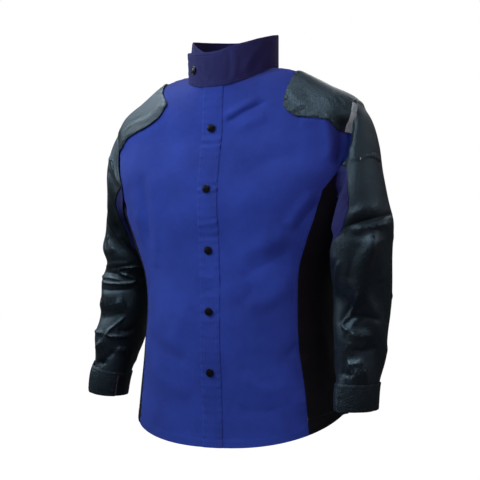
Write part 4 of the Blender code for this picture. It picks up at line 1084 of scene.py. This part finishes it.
def make_placket(flat):
    """Strip over the centre opening, with puckers between the snaps."""
    levels, _ = even_rows(BODY, np.linspace(PLACKET_TOP_LEVEL, HEM_LEVEL, 600), step=SLEEVE_STEP)
    half = PLACKET_WIDTH / 2
    middle = np.linspace(NEAR_EDGE[-1] - half, half - NEAR_EDGE[-1], 8)[1:-1]
    across = np.concatenate([NEAR_EDGE - half, middle, (half - NEAR_EDGE)[::-1]])
    level, across = np.broadcast_arrays(levels[:, None], across)
    angle = front_angle(level, across)
    gap = edge_distances(BODY.point(level, angle))["bottom"]
    piece = soft_piece("placket_cloth", BLUE, BODY, level, angle, PLACKET_STAND, CLOTH,
                       relief=lambda points: (body_relief(points) + crease_relief(points, BODY, PLACKET_CREASES)
                                              + hem_relief(gap)),
                       sewn=("left", "right"), pucker=1.5, flat=flat)
    sew(blue_stitches, piece, ("left", "right"))


def make_snap(node):
    """A turned cap in the place of its CAD node."""
    points = np.array([vert.co[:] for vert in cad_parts[node].data.vertices])
    middle = points.mean(0)
    spread = points - middle
    axis = np.linalg.svd(spread, full_matrices=False)[2][2]
    axis = axis * (1.0 if axis[:2] @ middle[:2] > 0 else -1.0)
    foot = middle + axis * (spread @ axis).min()
    shape = bmesh.new()
    verts = [shape.verts.new((out * SNAP_RADIUS, 0.0, up * SNAP_HEIGHT)) for out, up in SNAP_PROFILE]
    edges = [shape.edges.new(pair) for pair in zip(verts, verts[1:])]
    bmesh.ops.spin(shape, geom=verts + edges, cent=(0, 0, 0), axis=(0, 0, 1), angle=math.tau, steps=40,
                   use_merge=True)
    bmesh.ops.remove_doubles(shape, verts=shape.verts, dist=1e-6)
    bmesh.ops.recalc_face_normals(shape, faces=shape.faces)
    turn = Vector((0, 0, 1)).rotation_difference(Vector(axis)).to_matrix().to_4x4()
    bmesh.ops.transform(shape, matrix=Matrix.Translation(Vector(foot)) @ turn, verts=shape.verts)
    fitted(f"{node}_cap", shape, GUNMETAL, node)


LIGHT_DISTANCE = 2.1
LIGHT_AIM = (0.0, 0.0, -0.18)
WHITE, WARM, SKY = (1.0, 1.0, 1.0), (1.0, 0.30, 0.38), (0.92, 0.97, 1.0)
# Square lights: turn from the front towards the wearer's left and rise in degrees, side in metres, watts, colour,
# whether they light the cloth, whether they show as shine
LIGHTS = {
    "key_light": (-42.0, 36.0, 0.5, 24.0, WHITE, True, False),
    "front_fill": (-14.0, 12.0, 1.2, 15.0, WHITE, True, False),
    "warm_fill": (50.0, 5.0, 1.0, 10.0, WARM, True, False),
    "front_high_shine": (22.0, 52.0, 0.35, 6.0, SKY, False, True),
    "ridge_shine": (-25.0, 58.0, 0.4, 20.0, SKY, False, True),
    "left_high_shine": (-100.0, 50.0, 0.4, 28.0, SKY, False, True),
    "left_low_shine": (-75.0, 20.0, 0.3, 11.0, SKY, False, True),
    "top_shine": (0.0, 85.0, 0.4, 5.0, SKY, False, True),
    "right_shine": (110.0, 25.0, 0.6, 5.0, SKY, False, True),
    "back_light": (180.0, 35.0, 1.0, 9.0, WHITE, True, True),
}
AMBIENT = 0.16
AMBIENT_MIRRORED_LESS = 0.11
CAMERA_TURN = math.radians(28.0)
CAMERA_DISTANCE = 2.5
CAMERA_HEIGHT = -0.36
FLOOR_HEIGHT = -1.45


def add_lights(scene):
    """Soft lights that face the jacket."""
    for name, (turn, rise, size, power, color, diffuse, glossy) in LIGHTS.items():
        turn, rise = math.radians(turn), math.radians(rise)
        way = Vector((math.sin(turn) * math.cos(rise), -math.cos(turn) * math.cos(rise), math.sin(rise)))
        lamp = bpy.data.lights.new(name, "AREA")
        lamp.size, lamp.energy, lamp.color = size, power, color
        item = bpy.data.objects.new(name, lamp)
        item.location = way * LIGHT_DISTANCE + Vector(LIGHT_AIM)
        item.rotation_euler = (-way).to_track_quat("-Z", "Y").to_euler()
        item.visible_diffuse, item.visible_glossy = diffuse, glossy
        scene.collection.objects.link(item)


def make_studio():
    """Camera, lights, pale floor and white surroundings."""
    scene = bpy.context.scene
    lens = bpy.data.cameras.new("camera")
    lens.lens, lens.sensor_width = 90.0, 36.0
    camera = bpy.data.objects.new("camera", lens)
    camera.location = (CAMERA_DISTANCE * math.sin(CAMERA_TURN), -CAMERA_DISTANCE * math.cos(CAMERA_TURN),
                       CAMERA_HEIGHT)
    camera.rotation_euler = (math.pi / 2, 0.0, CAMERA_TURN)
    scene.collection.objects.link(camera)
    scene.camera = camera
    add_lights(scene)
    paint = bpy.data.materials.new("pale_floor")
    paint.use_nodes = True
    connect(paint.node_tree.nodes["Principled BSDF"], {
        "Base Color": (0.2, 0.2, 0.2, 1.0), "Roughness": 0.9, "Emission Color": (1.0, 1.0, 1.0, 1.0),
        "Emission Strength": 0.98})
    shape = bmesh.new()
    bmesh.ops.create_circle(shape, cap_ends=True, segments=64, radius=14.0)
    mesh = bpy.data.meshes.new("floor")
    shape.to_mesh(mesh)
    shape.free()
    mesh.materials.append(paint)
    floor = bpy.data.objects.new("floor", mesh)
    floor.location = (0.0, 0.0, FLOOR_HEIGHT)
    floor.visible_diffuse = floor.visible_glossy = False
    scene.collection.objects.link(floor)
    scene.world = bpy.data.worlds.new("studio")
    scene.world.use_nodes = True
    tree = scene.world.node_tree
    sky = tree.nodes["Background"].inputs
    seen, mirrored = (Value(tree).result("ShaderNodeLightPath", output=output)
                      for output in ("Is Camera Ray", "Is Glossy Ray"))
    strength = seen * (1.0 - AMBIENT) + AMBIENT - mirrored * AMBIENT_MIRRORED_LESS
    tree.links.new(strength.socket, sky["Strength"])
    sky["Color"].default_value = (1.0, 1.0, 1.0, 1.0)
    scene.view_settings.view_transform = "Standard"


make_studio()
make_front("left", 1, (0.30, 0.82), 0.165)
make_front("right", -1, (0.30, 0.82), 0.170)
make_back((0.60, 0.80), 0.350)
make_side_panel("left", 1, (0.20, 0.52), 0.088)
make_side_panel("right", -1, (0.20, 0.52), 0.080)
make_yoke("left", 1, (0.16, 0.32), 0.032)
make_yoke("right", -1, (0.17, 0.32), 0.035)
make_strip((0.017, 0.052), 0.00085)
make_sleeve("left", 1, (0.44, 0.60), 0.160, (0.13, 0.21))
make_sleeve("right", -1, (0.44, 0.60), 0.168, (0.10, 0.21))
make_welt((0.010, 0.085))
make_cuff("left", 1, (0.36, 0.05), (0.042, 0.040))
make_cuff("right", -1, (0.36, 0.05), (0.042, 0.040))
make_collar((0.66, 0.085), 0.044)
make_placket((0.045, 0.77))
for number in range(1, SNAP_COUNT + 1):
    make_snap(f"snap_{number}")
make_snap("collar_snap")
for name, stitches, slot, finish in (("blue_stitches", blue_stitches, "blue_cotton", BLUE_THREAD),
                                     ("navy_stitches", navy_stitches, "navy_cotton", BLUE_THREAD),
                                     ("black_stitches", black_stitches, "black_leather", BLACK_THREAD),
                                     ("pale_stitches", pale_stitches, "pale_hide", PALE_THREAD)):
    fitted(name, stitches, Look(slot, finish), sharp=False)
